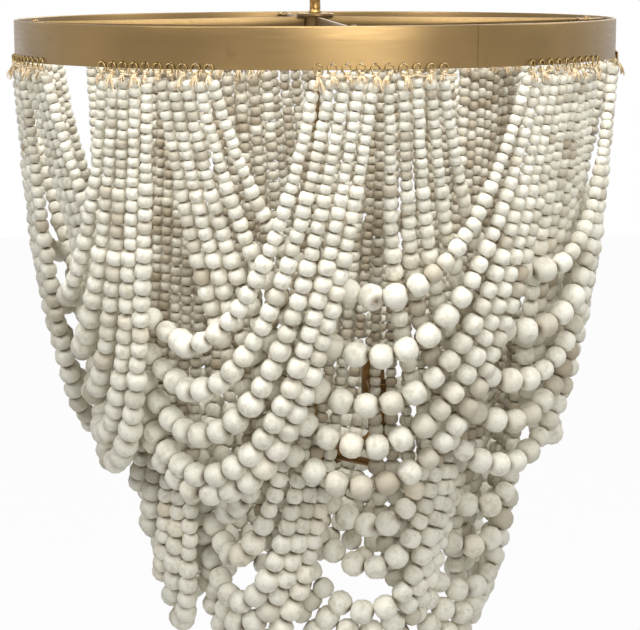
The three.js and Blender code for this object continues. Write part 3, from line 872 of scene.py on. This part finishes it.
def addTail(curve, start, outward):
    # a tuft of fibres that spread from the knot and hang over the first bead
    sideways = Vector((-outward.y, outward.x, 0))
    splayAside, splayOut = twine["fibreSplay"]
    down, inward, spreading = twine["tailBend"]
    aside = twine["fibreAside"]
    pieces = len(twine["fibreTaper"]) - 1
    length = draws.uniform(*twine["tailLengths"])
    lean = draws.gauss(0, twine["tailLean"])
    forward = draws.uniform(*twine["tailOutward"])
    first = (outward * forward + sideways * lean - Vector((0, 0, twine["tailDown"]))).normalized()
    for i in range(twine["fibres"]):
        splay = sideways * draws.gauss(0, splayAside) + outward * draws.gauss(0, splayOut)
        direction = (first + splay).normalized()
        step = length * draws.uniform(*twine["fibreShares"]) / pieces
        points = [start + sideways * draws.uniform(-aside, aside)]
        for _ in range(pieces):
            points.append(points[-1] + direction * step)
            bend = Vector((0, 0, -down)) - outward * inward + splay * spreading
            direction = (direction + bend).normalized()
        thick = twine["tailRadius"] if i == 0 else twine["fibreRadius"]
        addThread(curve, points, [thick * share for share in twine["fibreTaper"]])


def addRun(curve, knot, outward, tier):
    # a loose thread from one knot to the next
    turn, steps, wave = math.radians(tier["ringDegrees"]), twine["runSteps"], twine["runWave"]
    points = []
    for i in range(steps + 1):
        part = i / steps
        place = Matrix.Rotation(turn * part, 3, "Z") @ knot
        sag = twine["runSag"] * math.sin(math.pi * part) + draws.uniform(-wave, wave)
        points.append(place + outward * twine["runProud"] - Vector((0, 0, sag)))
    addThread(curve, points, [twine["tailRadius"]] * len(points))


def ringShape():
    # a jump ring facing Y whose top dips through the hole in the metal behind it
    bm = wireLoop(rings["radius"], 0, rings["wire"], rings["steps"] // 2, rings["sides"])
    for v in bm.verts:
        fromTop = math.degrees(abs(math.atan2(v.co.x, v.co.z)))
        v.co.y += rings["dip"] * max(0, 1 - fromTop / rings["dipDegrees"])
    return meshFrom(bm, "jumpRing")


def addRing(bm, ring, top, outward):
    swing = math.radians(rings["turnDegrees"] + draws.gauss(0, rings["jitterDegrees"]))
    angle = math.atan2(outward.y, outward.x) + math.pi / 2
    centre = top + outward * rings["forward"] + Vector((0, 0, rings["above"]))
    addCopy(bm, ring, Matrix.Translation(centre) @ Matrix.Rotation(angle + swing, 4, "Z"))


def newTwine(name):
    curve = bpy.data.curves.new(name, "CURVE")
    curve.dimensions = "3D"
    curve.bevel_depth = 1
    curve.bevel_resolution = 1
    curve.use_fill_caps = True
    return curve


def addEnds(curve, ringBm, ring, tier, strand, line):
    # knot, tuft, loose thread and ring at both ends of a strand; gives the two knots' places
    knots = []
    for place in (line[0], line[-1]):
        top = Vector(place)
        outward = Vector((top.x, top.y, 0)).normalized()
        below = rings["radius"] - rings["above"] + twine["knotBelow"]
        knot = top + outward * rings["forward"] * 0.5 - Vector((0, 0, below))
        knots.append(knot)
        addKnot(curve, knot)
        if draws.random() < twine["tailShare"]:
            addTail(curve, knot, outward)
        if strand < strands["count"] - 1 and draws.random() < twine["runShare"]:
            addRun(curve, knot, outward, tier)
        addRing(ringBm, ring, top, outward)
    return knots


def paintBeads(mesh, tones, shifts, counts):
    # one tone for each bead, and a grain of its own
    place = mesh.attributes["beadPlace"]
    values = np.zeros(len(mesh.vertices) * 3, np.float32)
    place.data.foreach_get("vector", values)
    values = values.reshape(-1, 3) + np.repeat(np.array(shifts, np.float32), counts, axis=0)
    place.data.foreach_set("vector", values.ravel())
    tone = mesh.attributes.new("beadTone", "FLOAT", "POINT")
    tone.data.foreach_set("value", np.repeat(np.array(tones, np.float32), counts))


def makeSwag(tier, number, shapes, ring, ringBm):
    bm = bmesh.new()
    name = f"{tier['node']}_{number + 1}"
    curve = newTwine(name + "Twine")
    tones, counts, shifts = [], [], []
    for strand in range(strands["count"]):
        line = strandLine(tier, number, strand)
        neck = strands["neck"] + draws.uniform(*strands["neckSpread"])
        paint = draws.gauss(0, strands["toneByStrand"])
        spots = beadSpots(line, tier, (strand + number) % 2 == 0, neck)
        for size, spot, direction in spots:
            counts.append(addBead(bm, shapes[size], spot, direction))
            tone = draws.gauss(tier["tones"][size] + paint, strands["toneByBead"])
            tones.append(min(0.99, max(0, tone)))
            shifts.append([draws.uniform(0, beads["grainShift"]) for _ in range(3)])
        knots = addEnds(curve, ringBm, ring, tier, strand, line)
        path = [knots[0], *[spot for _, spot, _ in spots], knots[1]]
        addThread(curve, path, [twine["coreRadius"]] * len(path))
    piece = dressNode(name, "beads", bm, wood, sharpDegrees=0)
    paintBeads(piece.data, tones, shifts, counts)
    holder = placed(name + "Curve", curve)
    finishPiece(name + "_twine", baked(holder), jute, sharpDegrees=0)
    return len(tones)


def makeSwags():
    shapes = [beadShape(size) for size in range(len(beads["diameters"]))]
    ring = ringShape()
    for side, tier in tiers.items():
        ringBm = bmesh.new()
        swags = range(len(tier["clusters"]))
        total = sum(makeSwag(tier, number, shapes, ring, ringBm) for number in swags)
        finishPiece(f"{side}_jump_rings", ringBm, wireBrass, sharpDegrees=0)
        print(side, "tier strung,", total, "beads")
    for mesh in [*shapes, ring]:
        bpy.data.meshes.remove(mesh)


makeSwags()

# Top band: rolled strip with a rounded rim, a butt weld and a drilled hole for each ring
band = {
    "radius": 305,
    "thick": 3,
    "height": 38.5,
    "lowerEdge": (0.3, 0.4),  # how far the lower corners are broken, across and up
    "rimSteps": 6,
    "outerRows": (-26, -14),  # heights of further rows of corners on the walls
    "innerRow": -20,
    "steps": 180,
    "hole": (1.4, 14),  # radius, reach of the drill
    "weldDegrees": 28.7,
    "weldWidth": 0.8,
    "weldDepth": 0.5,
    "weldPast": 4,  # how far the groove's cutter reaches past the band's edges
    "lug": (26, 13, 2.6),  # length, width, thickness
    "lugTop": -4.9,
    "lugSeat": 0.5,  # how far the lugs reach into the band's wall
    "lugEdge": 0.4,
}
spokes = {
    "count": 4,
    "turnDegrees": 7,
    "innerEnd": 11.3,
    "outerEnd": 301.2,
    "thick": 3,
    "height": 11,
    "innerTop": 1.2,
    "padTop": -2,
    "padSize": (27, 13, 2.6),  # length, width, thickness
    "padEdge": 0.6,
    "edge": 0.5,
    "screwAt": 284,
    "screwAbove": 0.3,
    "screw": (3.8, 2.4, 1.6, 8),  # head's radius and height, shank's radius and length
}


def spokeTurn(i):
    return Matrix.Rotation(math.radians(spokes["turnDegrees"] + 90 * i - 90), 4, "Z")


def ringPlaces(tier):
    for number in range(len(tier["clusters"])):
        for strand in range(strands["count"]):
            line = strandLine(tier, number, strand)
            for place in (line[0], line[-1]):
                yield Vector(place)


def ringHoles(tier, hole):
    radius, reach = hole
    cutters = bmesh.new()
    for place in ringPlaces(tier):
        outward = Vector((place.x, place.y, 0)).normalized()
        centre = place + Vector((0, 0, rings["holeAbove"]))
        matrix = Matrix.Translation(centre) @ outward.to_track_quat("Z", "Y").to_matrix().to_4x4()
        bmesh.ops.create_cone(
            cutters, cap_ends=True, segments=10, radius1=radius, radius2=radius,
            depth=reach, matrix=matrix,
        )
    return cutters


def makeBand():
    inner, outer = band["radius"] - band["thick"], band["radius"]
    lip, foot = band["thick"] / 2, -band["height"]
    across, up = band["lowerEdge"]
    profile = [
        (inner + across, foot), (outer - across, foot), (outer, foot + up),
        *[(outer, z) for z in band["outerRows"]],
        *arc((inner + lip, -lip), lip, lip, 0, 180, band["rimSteps"]),
        (inner, band["innerRow"]), (inner, foot + up),
    ]
    cutters = ringHoles(tiers["upper"], band["hole"])
    grooveSize = (band["weldDepth"] * 2, band["weldWidth"], band["height"] + 2 * band["weldPast"])
    groove = block(grooveSize, (outer, 0, foot / 2), 0.05, 1)
    addInto(cutters, moved(groove, Matrix.Rotation(math.radians(band["weldDegrees"] - 90), 4, "Z")))
    bm = drilled("band", spun(profile, band["steps"], closed=True), cutters)
    length, width, thick = band["lug"]
    centre = (inner + band["lugSeat"] - length / 2, 0, band["lugTop"] - thick / 2)
    for i in range(spokes["count"]):
        lug = block((length, width, thick), centre, band["lugEdge"])
        addInto(bm, moved(lug, spokeTurn(i)))
    dressNode("top_band", "rolled", bm, brass, sharpDegrees=32)


def makeSpokes():
    for i in range(spokes["count"]):
        length, width, thick = spokes["padSize"]
        padStart = spokes["outerEnd"] - length
        top, low = spokes["innerTop"], spokes["padTop"]
        bm = bmesh.new()
        outline = [
            (spokes["innerEnd"], top), (padStart, low), (spokes["outerEnd"], low),
            (spokes["outerEnd"], low - thick), (padStart, low - thick),
            (padStart, low - spokes["height"]), (spokes["innerEnd"], top - spokes["height"]),
        ]
        face = bm.faces.new([bm.verts.new((x, -spokes["thick"] / 2, z)) for x, z in outline])
        pulled = bmesh.ops.extrude_face_region(bm, geom=[face])["geom"]
        bmesh.ops.translate(bm, vec=(0, spokes["thick"], 0), verts=vertsIn(pulled))
        bmesh.ops.recalc_face_normals(bm, faces=bm.faces)
        roundedOff(bm, spokes["edge"])
        centre = (padStart + length / 2, 0, low - thick / 2)
        addInto(bm, block((length, width, thick), centre, spokes["padEdge"]))
        dressNode(f"top_spoke_{i + 1}", "bar", moved(bm, spokeTurn(i)), brassDrawn)
        seat = Matrix.Translation((spokes["screwAt"], 0, low + spokes["screwAbove"]))
        screw = moved(screwShape(*spokes["screw"]), spokeTurn(i) @ seat)
        dressNode(f"spoke_screw_{i + 1}", "dome", screw, brassDrawn)


makeBand()
makeSpokes()
print("band and spokes made")

# Stem, hub, loops, chain and canopy. Outlines are (radius, height), from below upwards or round a wall.
hub = {
    "disc": (19, 3),  # radius, height
    "block": (11, 12),  # radius, height
    "rise": 4.5,
    "edge": 0.6,
    "crown": 0.05,
    "steps": 64,
}
stem = {
    "radius": 5.6,
    "foot": [(0, 0), (6.5, 0), (6.8, 0.3), (6.8, 1.2), (6, 2.1), (5.4, 2.9)],
    "footHeight": 3.7,
    "edge": 0.4,
    "steps": 40,
    "rows": 44,
    "dent": 0.22,
    "waves": ((5, 0.55), (-3, 0.9)),  # periods round the stem, and radians per millimetre up it
}
loops = {
    "mid": 9,
    "wire": 2.1,
    "canopyBody": [(0, 0), (10.9, 0), (12.4, 0.6), (13, 2.1), (13, 14.9), (12.6, 15.3), (5, 15.3)],
    "canopyThread": 5,
    "canopySteps": 48,
    "stemBody": [
        (0, -5), (6.2, -5), (6.6, -4.6), (6.6, -1.6), (5.8, -0.4), (4, 1.2), (2.6, 2.1), (0, 2.1),
    ],
    "stemSteps": 40,
}
chain = {
    "count": 3,
    "bend": 8.6,
    "straight": 15,
    "wire": 1.8,
    "weld": (0.25, 1.1),  # how proud it stands, half its length
    "weldSteps": (6, 12),  # along it, round it
}


def raised(outline, height):
    return [(radius, height + z) for radius, z in outline]


def heightsOf(node, level=0):
    # the lowest and the highest point of a CAD node, in millimetres from a level
    low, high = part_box(node)
    return (low.z - level) / mm, (high.z - level) / mm


def makeHub():
    radius, thick = hub["disc"]
    blockRadius, blockHeight = hub["block"]
    rise, e = hub["rise"], hub["edge"]
    low = rise - thick
    profile = [
        (0, low - blockHeight), (blockRadius - e, low - blockHeight),
        (blockRadius, low - blockHeight + e), (blockRadius, low - 0.01),
        (radius - e, low), (radius, low + e), (radius, rise - e), (radius - e, rise),
        (radius * 0.5, rise + hub["crown"]), (0, rise + hub["crown"]),
    ]
    dressNode("top_hub", "turned", spun(profile, hub["steps"]), brass)


def makeStem():
    base, top = heightsOf("upper_stem", ringTop)
    radius, rows = stem["radius"], stem["rows"]
    bottom = base + stem["footHeight"]
    step = (top - bottom - stem["edge"]) / rows
    profile = raised(stem["foot"], base)
    profile += [(radius, bottom + step * i) for i in range(rows + 1)]
    profile += [(radius - stem["edge"], top), (0, top)]
    bm = spun(profile, stem["steps"])
    for v in bm.verts:  # shallow slanting flats, as from a hammer
        if v.co.xy.length > radius - 0.1 and v.co.z > bottom - 0.1:
            around = math.atan2(v.co.y, v.co.x)
            wave = math.prod(math.sin(turns * around + v.co.z * rise) for turns, rise in stem["waves"])
            v.co.xy *= 1 - stem["dent"] / radius * (0.5 + 0.5 * wave)
    dressNode("upper_stem", "hammered", bm, stemBrass, sharpDegrees=50)


def addEye(bm, height):
    eye = wireLoop(loops["mid"], 0, loops["wire"])
    addInto(bm, moved(eye, Matrix.Translation((0, 0, height))))


def makeLoops():
    low, high = heightsOf("canopy_loop")
    eyeCentre = low + loops["mid"] + loops["wire"]
    profile = raised(loops["canopyBody"], eyeCentre + loops["mid"])
    profile += [(loops["canopyThread"], high), (0, high)]
    bm = spun(profile, loops["canopySteps"])
    addEye(bm, eyeCentre)
    dressNode("canopy_loop", "cast", bm, brassDrawn, level=0, body="ceiling_mount")
    low, high = heightsOf("stem_loop")
    eyeCentre = high - loops["mid"] - loops["wire"]
    bm = spun(raised(loops["stemBody"], eyeCentre - loops["mid"]), loops["stemSteps"])
    addEye(bm, eyeCentre)
    dressNode("stem_loop", "cast", bm, brassDrawn, level=0)


def makeChain():
    for i in range(chain["count"]):
        node = f"chain_link_{i + 1}"
        middle = sum(heightsOf(node)) / 2
        place = Matrix.Translation((0, 0, middle)) @ Matrix.Rotation((i + 1) * math.pi / 2, 4, "Z")
        bm = moved(wireLoop(chain["bend"], chain["straight"], chain["wire"]), place)
        proud, halfLength = chain["weld"]
        along, around = chain["weldSteps"]
        weld = spun(arc((0, 0), chain["wire"] + proud, halfLength, -90, 90, along), around)
        addInto(bm, moved(weld, place @ Matrix.Translation((chain["bend"], 0, 0))))
        dressNode(node, "wire", bm, brassDrawn, level=0, body=f"chain_{i + 1}")


canopyForm = {
    "radius": 63.5,
    "depth": 26,
    "rimDrop": 5,
    "wall": 1.4,
    "crown": 30,
    "hole": 13.5,
    "bowlSteps": 12,
    "bead": (0.35, -0.5, -1.9, -2.3),  # how proud the rim's bead stands, and its heights
    "steps": 96,
}
collarForm = {
    "radius": 19,
    "height": 7,
    "bore": 13.5,
    "bulge": 1.75,
    "bulgeSteps": 8,
    "ridges": 36,
    "ridgeDepth": 0.02,
    "below": 0.3,
}


def makeCanopy():
    radius, wall, depth = canopyForm["radius"], canopyForm["wall"], canopyForm["depth"]
    crown, hole = canopyForm["crown"], canopyForm["hole"]
    proud, beadTop, beadLow, beadEnd = canopyForm["bead"]
    middle = (crown, -canopyForm["rimDrop"])
    reach, drop = radius - crown, depth - canopyForm["rimDrop"]
    outer = arc(middle, reach, -drop, 0, 90, canopyForm["bowlSteps"])
    inner = arc(middle, reach - wall, -(drop - wall), 90, 0, canopyForm["bowlSteps"])
    profile = [
        (radius - wall, -0.1), (radius - 0.4, -0.1), (radius + proud, beadTop), (radius + proud, beadLow),
        (radius, beadEnd), *outer, (hole, -depth), (hole, -depth + wall), *inner,
    ]
    bm = spun(profile, canopyForm["steps"], closed=True)
    dressNode("canopy", "spun", bm, brass, level=0, body="canopy")


def makeCollar():
    radius, bore, ridges = collarForm["radius"], collarForm["bore"], collarForm["ridges"]
    top = -canopyForm["depth"] - collarForm["below"]
    low = top - collarForm["height"]
    centre = (radius - collarForm["bulge"], (top + low) / 2)
    bulge = arc(centre, collarForm["bulge"], collarForm["height"] / 2, -90, 90, collarForm["bulgeSteps"])
    bm = spun([(bore, low), *bulge, (bore, top)], 2 * ridges, closed=True)
    for v in bm.verts:  # a knurled grip round the middle
        if v.co.xy.length > radius - 0.6:
            column = round(math.atan2(v.co.y, v.co.x) / math.pi * ridges)
            v.co.xy *= 1 - collarForm["ridgeDepth"] * (column % 2)
    dressNode("canopy_collar", "knurled", bm, brassDrawn, level=0, body="canopy")


barForm = {
    "size": (104, 24, 2.6),
    "spacing": 83,
    "edge": 0.35,
    "hole": (2.5, 8),  # radius, reach of the drill
    "screw": (4.2, 2.6, 2.1, 2.6),  # head's radius and height, shank's radius and length
    "screwSeat": -2.9,
}


def makeBar():
    thick = barForm["size"][2]
    radius, reach = barForm["hole"]
    sides = (-barForm["spacing"] / 2, barForm["spacing"] / 2)
    cutters = bmesh.new()
    for x in sides:
        bmesh.ops.create_cone(
            cutters, cap_ends=True, segments=24, radius1=radius, radius2=radius,
            depth=reach, matrix=Matrix.Translation((x, 0, -thick / 2)),
        )
    bm = drilled("bar", block(barForm["size"], (0, 0, -thick / 2), barForm["edge"]), cutters)
    dressNode("ceiling_bar", "plate", bm, steel, level=0, body="ceiling_mount")
    for i, x in enumerate(sides):
        seat = Matrix.Translation((x, 0, barForm["screwSeat"])) @ Matrix.Rotation(math.pi, 4, "X")
        screw = moved(screwShape(*barForm["screw"]), seat)
        dressNode(f"bar_screw_{i + 1}", "head", screw, steel, level=0, body="ceiling_mount")


makeHub()
makeStem()
makeLoops()
makeChain()
makeCanopy()
makeCollar()
makeBar()
print("stem, chain and canopy made")

# Centre tube, lower frame and lamps
lowerFrame = {
    "hoop": (206.2, 2.4, 12),  # outer radius, thickness, height
    "hoopTop": -24,
    "hoopEdge": 0.4,
    "hoopSteps": 132,
    "hole": (1.5, 12),  # radius, reach of the drill
    "hub": (14, 10, 4.9),  # radius, height, bore
    "hubEdge": 0.8,
    "hubSteps": 48,
    "spoke": (2.6, 8),  # thickness, height
    "spokeGaps": (0.3, 0.7),  # at the hub, at the hoop
    "spokeEdge": 0.5,
    "tube": (4.6, 3),  # radius, bore
    "tubeEdge": 0.3,
    "tubeSteps": 32,
}
lamps = {
    "count": 4,
    "hub": (30, 18, 4),  # radius, height, rounding
    "roundingSteps": 5,
    "steps": {"hub": 64, "cup": 40, "insert": 32, "finial": 40},
    "hubTop": -446,
    "turnDegrees": 47,
    "reach": 90,
    "armRadius": 3.8,
    "armSides": 16,
    "armBend": 14,
    "bendSteps": 8,
    "armLevel": -455,
    "gap": 0.3,
    "cupFoot": -427,
    "cup": (60, 7, 12.6, 15, 1.2),  # height, radius of foot, body and rim, wall
    "cupFloor": 10.2,
    "bore": (7, 27, 7),  # radius, depth, drop of the insert's top below the rim
    "boreRidges": (14, 1.2, -0.05, 0.25),  # count, pitch, inwards and outwards of the bore
    "finial": [
        (0, -19), (2.6, -18.3), (4, -16.6), (4.25, -15.2), (5, -13), (7.5, -10), (8.5, -7.6), (8.5, -5.5),
        (7.7, -3.6), (4.25, -1.4), (4.25, 0), (0, 0),
    ],
}


def roundedStrip(inner, outer, low, high, e):
    # the outline of a bar rolled into a hoop, with its corners broken
    return [
        (inner + e, low), (outer - e, low), (outer, low + e), (outer, high - e),
        (outer - e, high), (inner + e, high), (inner, high - e), (inner, low + e),
    ]


def sleeve(bore, radius, low, high, e):
    # the outline of a bored round piece, with its outer corners broken
    return [
        (bore, low), (radius - e, low), (radius, low + e),
        (radius, high - e), (radius - e, high), (bore, high),
    ]


def makeCentreTube():
    radius, bore = lowerFrame["tube"]
    profile = sleeve(bore, radius, *heightsOf("centre_tube", ringTop), lowerFrame["tubeEdge"])
    bm = spun(profile, lowerFrame["tubeSteps"], closed=True)
    dressNode("centre_tube", "drawn", bm, brassDrawn)


def makeLowerFrame():
    radius, thick, height = lowerFrame["hoop"]
    top = lowerFrame["hoopTop"]
    profile = roundedStrip(radius - thick, radius, top - height, top, lowerFrame["hoopEdge"])
    body = spun(profile, lowerFrame["hoopSteps"], closed=True)
    bm = drilled("hoop", body, ringHoles(tiers["lower"], lowerFrame["hole"]))
    dressNode("lower_hoop", "rolled", bm, brass, sharpDegrees=32)
    hubRadius, hubHeight, hubBore = lowerFrame["hub"]
    middle = top - height / 2
    low, high = middle - hubHeight / 2, middle + hubHeight / 2
    profile = sleeve(hubBore, hubRadius, low, high, lowerFrame["hubEdge"])
    dressNode("lower_hub", "turned", spun(profile, lowerFrame["hubSteps"], closed=True), brass)
    innerGap, outerGap = lowerFrame["spokeGaps"]
    start, end = hubRadius + innerGap, radius - thick - outerGap
    for i in range(spokes["count"]):
        size = (end - start, *lowerFrame["spoke"])
        bm = block(size, ((start + end) / 2, 0, middle), lowerFrame["spokeEdge"])
        dressNode(f"lower_spoke_{i + 1}", "bar", moved(bm, spokeTurn(i)), brassDrawn)


def armShape():
    # a tube that leaves the hub level and turns up into the cup's foot
    bm = bmesh.new()
    root = lamps["hub"][0] + lamps["gap"]
    corner = lamps["reach"] - lamps["armBend"]
    start = Matrix.Translation((root, 0, lamps["armLevel"])) @ Matrix.Rotation(math.pi / 2, 4, "Y")
    bmesh.ops.create_circle(
        bm, segments=lamps["armSides"], radius=lamps["armRadius"], cap_ends=True, matrix=start,
    )
    pulled = bmesh.ops.extrude_face_region(bm, geom=bm.faces[:])["geom"]
    bmesh.ops.translate(bm, vec=(corner - root, 0, 0), verts=vertsIn(pulled))
    end = facesIn(pulled)[0]
    turned = bmesh.ops.spin(
        bm, geom=[end, *end.edges, *end.verts], cent=(corner, 0, lamps["armLevel"] + lamps["armBend"]),
        axis=(0, -1, 0), angle=math.pi / 2, steps=lamps["bendSteps"], use_merge=False,
    )
    pulled = bmesh.ops.extrude_face_region(bm, geom=facesIn(turned["geom_last"]))["geom"]
    rise = lamps["cupFoot"] - lamps["gap"] - lamps["armLevel"] - lamps["armBend"]
    bmesh.ops.translate(bm, vec=(0, 0, rise), verts=vertsIn(pulled))
    sides = lamps["armSides"]
    inner = [f for f in bm.faces if len(f.verts) == sides and all(len(e.link_faces) > 2 for e in f.edges)]
    bmesh.ops.delete(bm, geom=inner, context="FACES_ONLY")
    bmesh.ops.remove_doubles(bm, verts=bm.verts, dist=1e-3)
    bmesh.ops.recalc_face_normals(bm, faces=bm.faces)
    return bm


def makeLampHub():
    radius, height, edge = lamps["hub"]
    top = lamps["hubTop"]
    low = top - height
    upperCorner = arc((radius - edge, top - edge), edge, edge, 0, 90, lamps["roundingSteps"])
    lowerCorner = arc((radius - edge, low + edge), edge, edge, -90, 0, lamps["roundingSteps"])
    profile = [(0, low), *lowerCorner, (radius + 0.01, (top + low) / 2), *upperCorner, (0, top)]
    dressNode("lamp_hub", "cast", spun(profile, lamps["steps"]["hub"]), bronze)


def makeFinial():
    base = lamps["hubTop"] - lamps["hub"][1] - lamps["gap"]
    bm = spun(raised(lamps["finial"], base), lamps["steps"]["finial"])
    dressNode("bottom_finial", "turned", bm, bronze)


def socketOutlines():
    # the cup and the insert that stands in it, both from the cup's foot upwards
    cupHeight, footRadius, bodyRadius, rimRadius, wall = lamps["cup"]
    boreRadius, boreDepth, topDrop = lamps["bore"]
    floorHeight = lamps["cupFloor"]
    proud = bodyRadius + 0.35
    cup = [
        (0, 0), (footRadius - 0.5, 0), (footRadius, 0.5), (footRadius + 1.2, 2.2),
        (bodyRadius - 0.9, 7.4), (bodyRadius, 9), (bodyRadius, 30), (proud, 30.4), (proud, 31.6),
        (bodyRadius, 32), (bodyRadius, 54), (rimRadius - 0.4, 59.2), (rimRadius, 59.7),
        (rimRadius - 0.3, cupHeight), (rimRadius - wall, cupHeight - 0.1),
        (bodyRadius - wall, 54), (bodyRadius - wall, floorHeight), (0, floorHeight),
    ]
    radius = bodyRadius - wall - lamps["gap"]
    base, top = floorHeight + lamps["gap"], cupHeight - topDrop
    seat = top - boreDepth
    count, pitch, inwards, outwards = lamps["boreRidges"]
    ridges = [
        (boreRadius + (outwards if k % 2 else inwards), top - 3 - k * pitch) for k in range(count)
    ]
    insert = [
        (0, base), (radius, base), (radius, top - 0.6), (radius - 0.6, top),
        (boreRadius + 0.6, top), (boreRadius, top - 0.6), *ridges,
        (boreRadius, seat + 0.4), (boreRadius - 0.4, seat), (2.2, seat), (2, seat + 0.1), (0, seat + 0.1),
    ]
    return cup, insert


def makeLamps():
    cup, insert = socketOutlines()
    cupSteps, insertSteps = lamps["steps"]["cup"], lamps["steps"]["insert"]
    for i in range(lamps["count"]):
        turn = Matrix.Rotation(math.radians(lamps["turnDegrees"] + 90 * i - 90), 4, "Z")
        end = turn @ Matrix.Translation((lamps["reach"], 0, lamps["cupFoot"]))
        dressNode(f"lamp_arm_{i + 1}", "bent", moved(armShape(), turn), bronze)
        dressNode(f"socket_cup_{i + 1}", "turned", moved(spun(cup, cupSteps), end), bronze)
        socket = moved(spun(insert, insertSteps), end)
        dressNode(f"lamp_socket_{i + 1}", "threaded", socket, blackInsert)


makeCentreTube()
makeLowerFrame()
makeLampHub()
makeLamps()
makeFinial()
print("lower frame and lamps made")
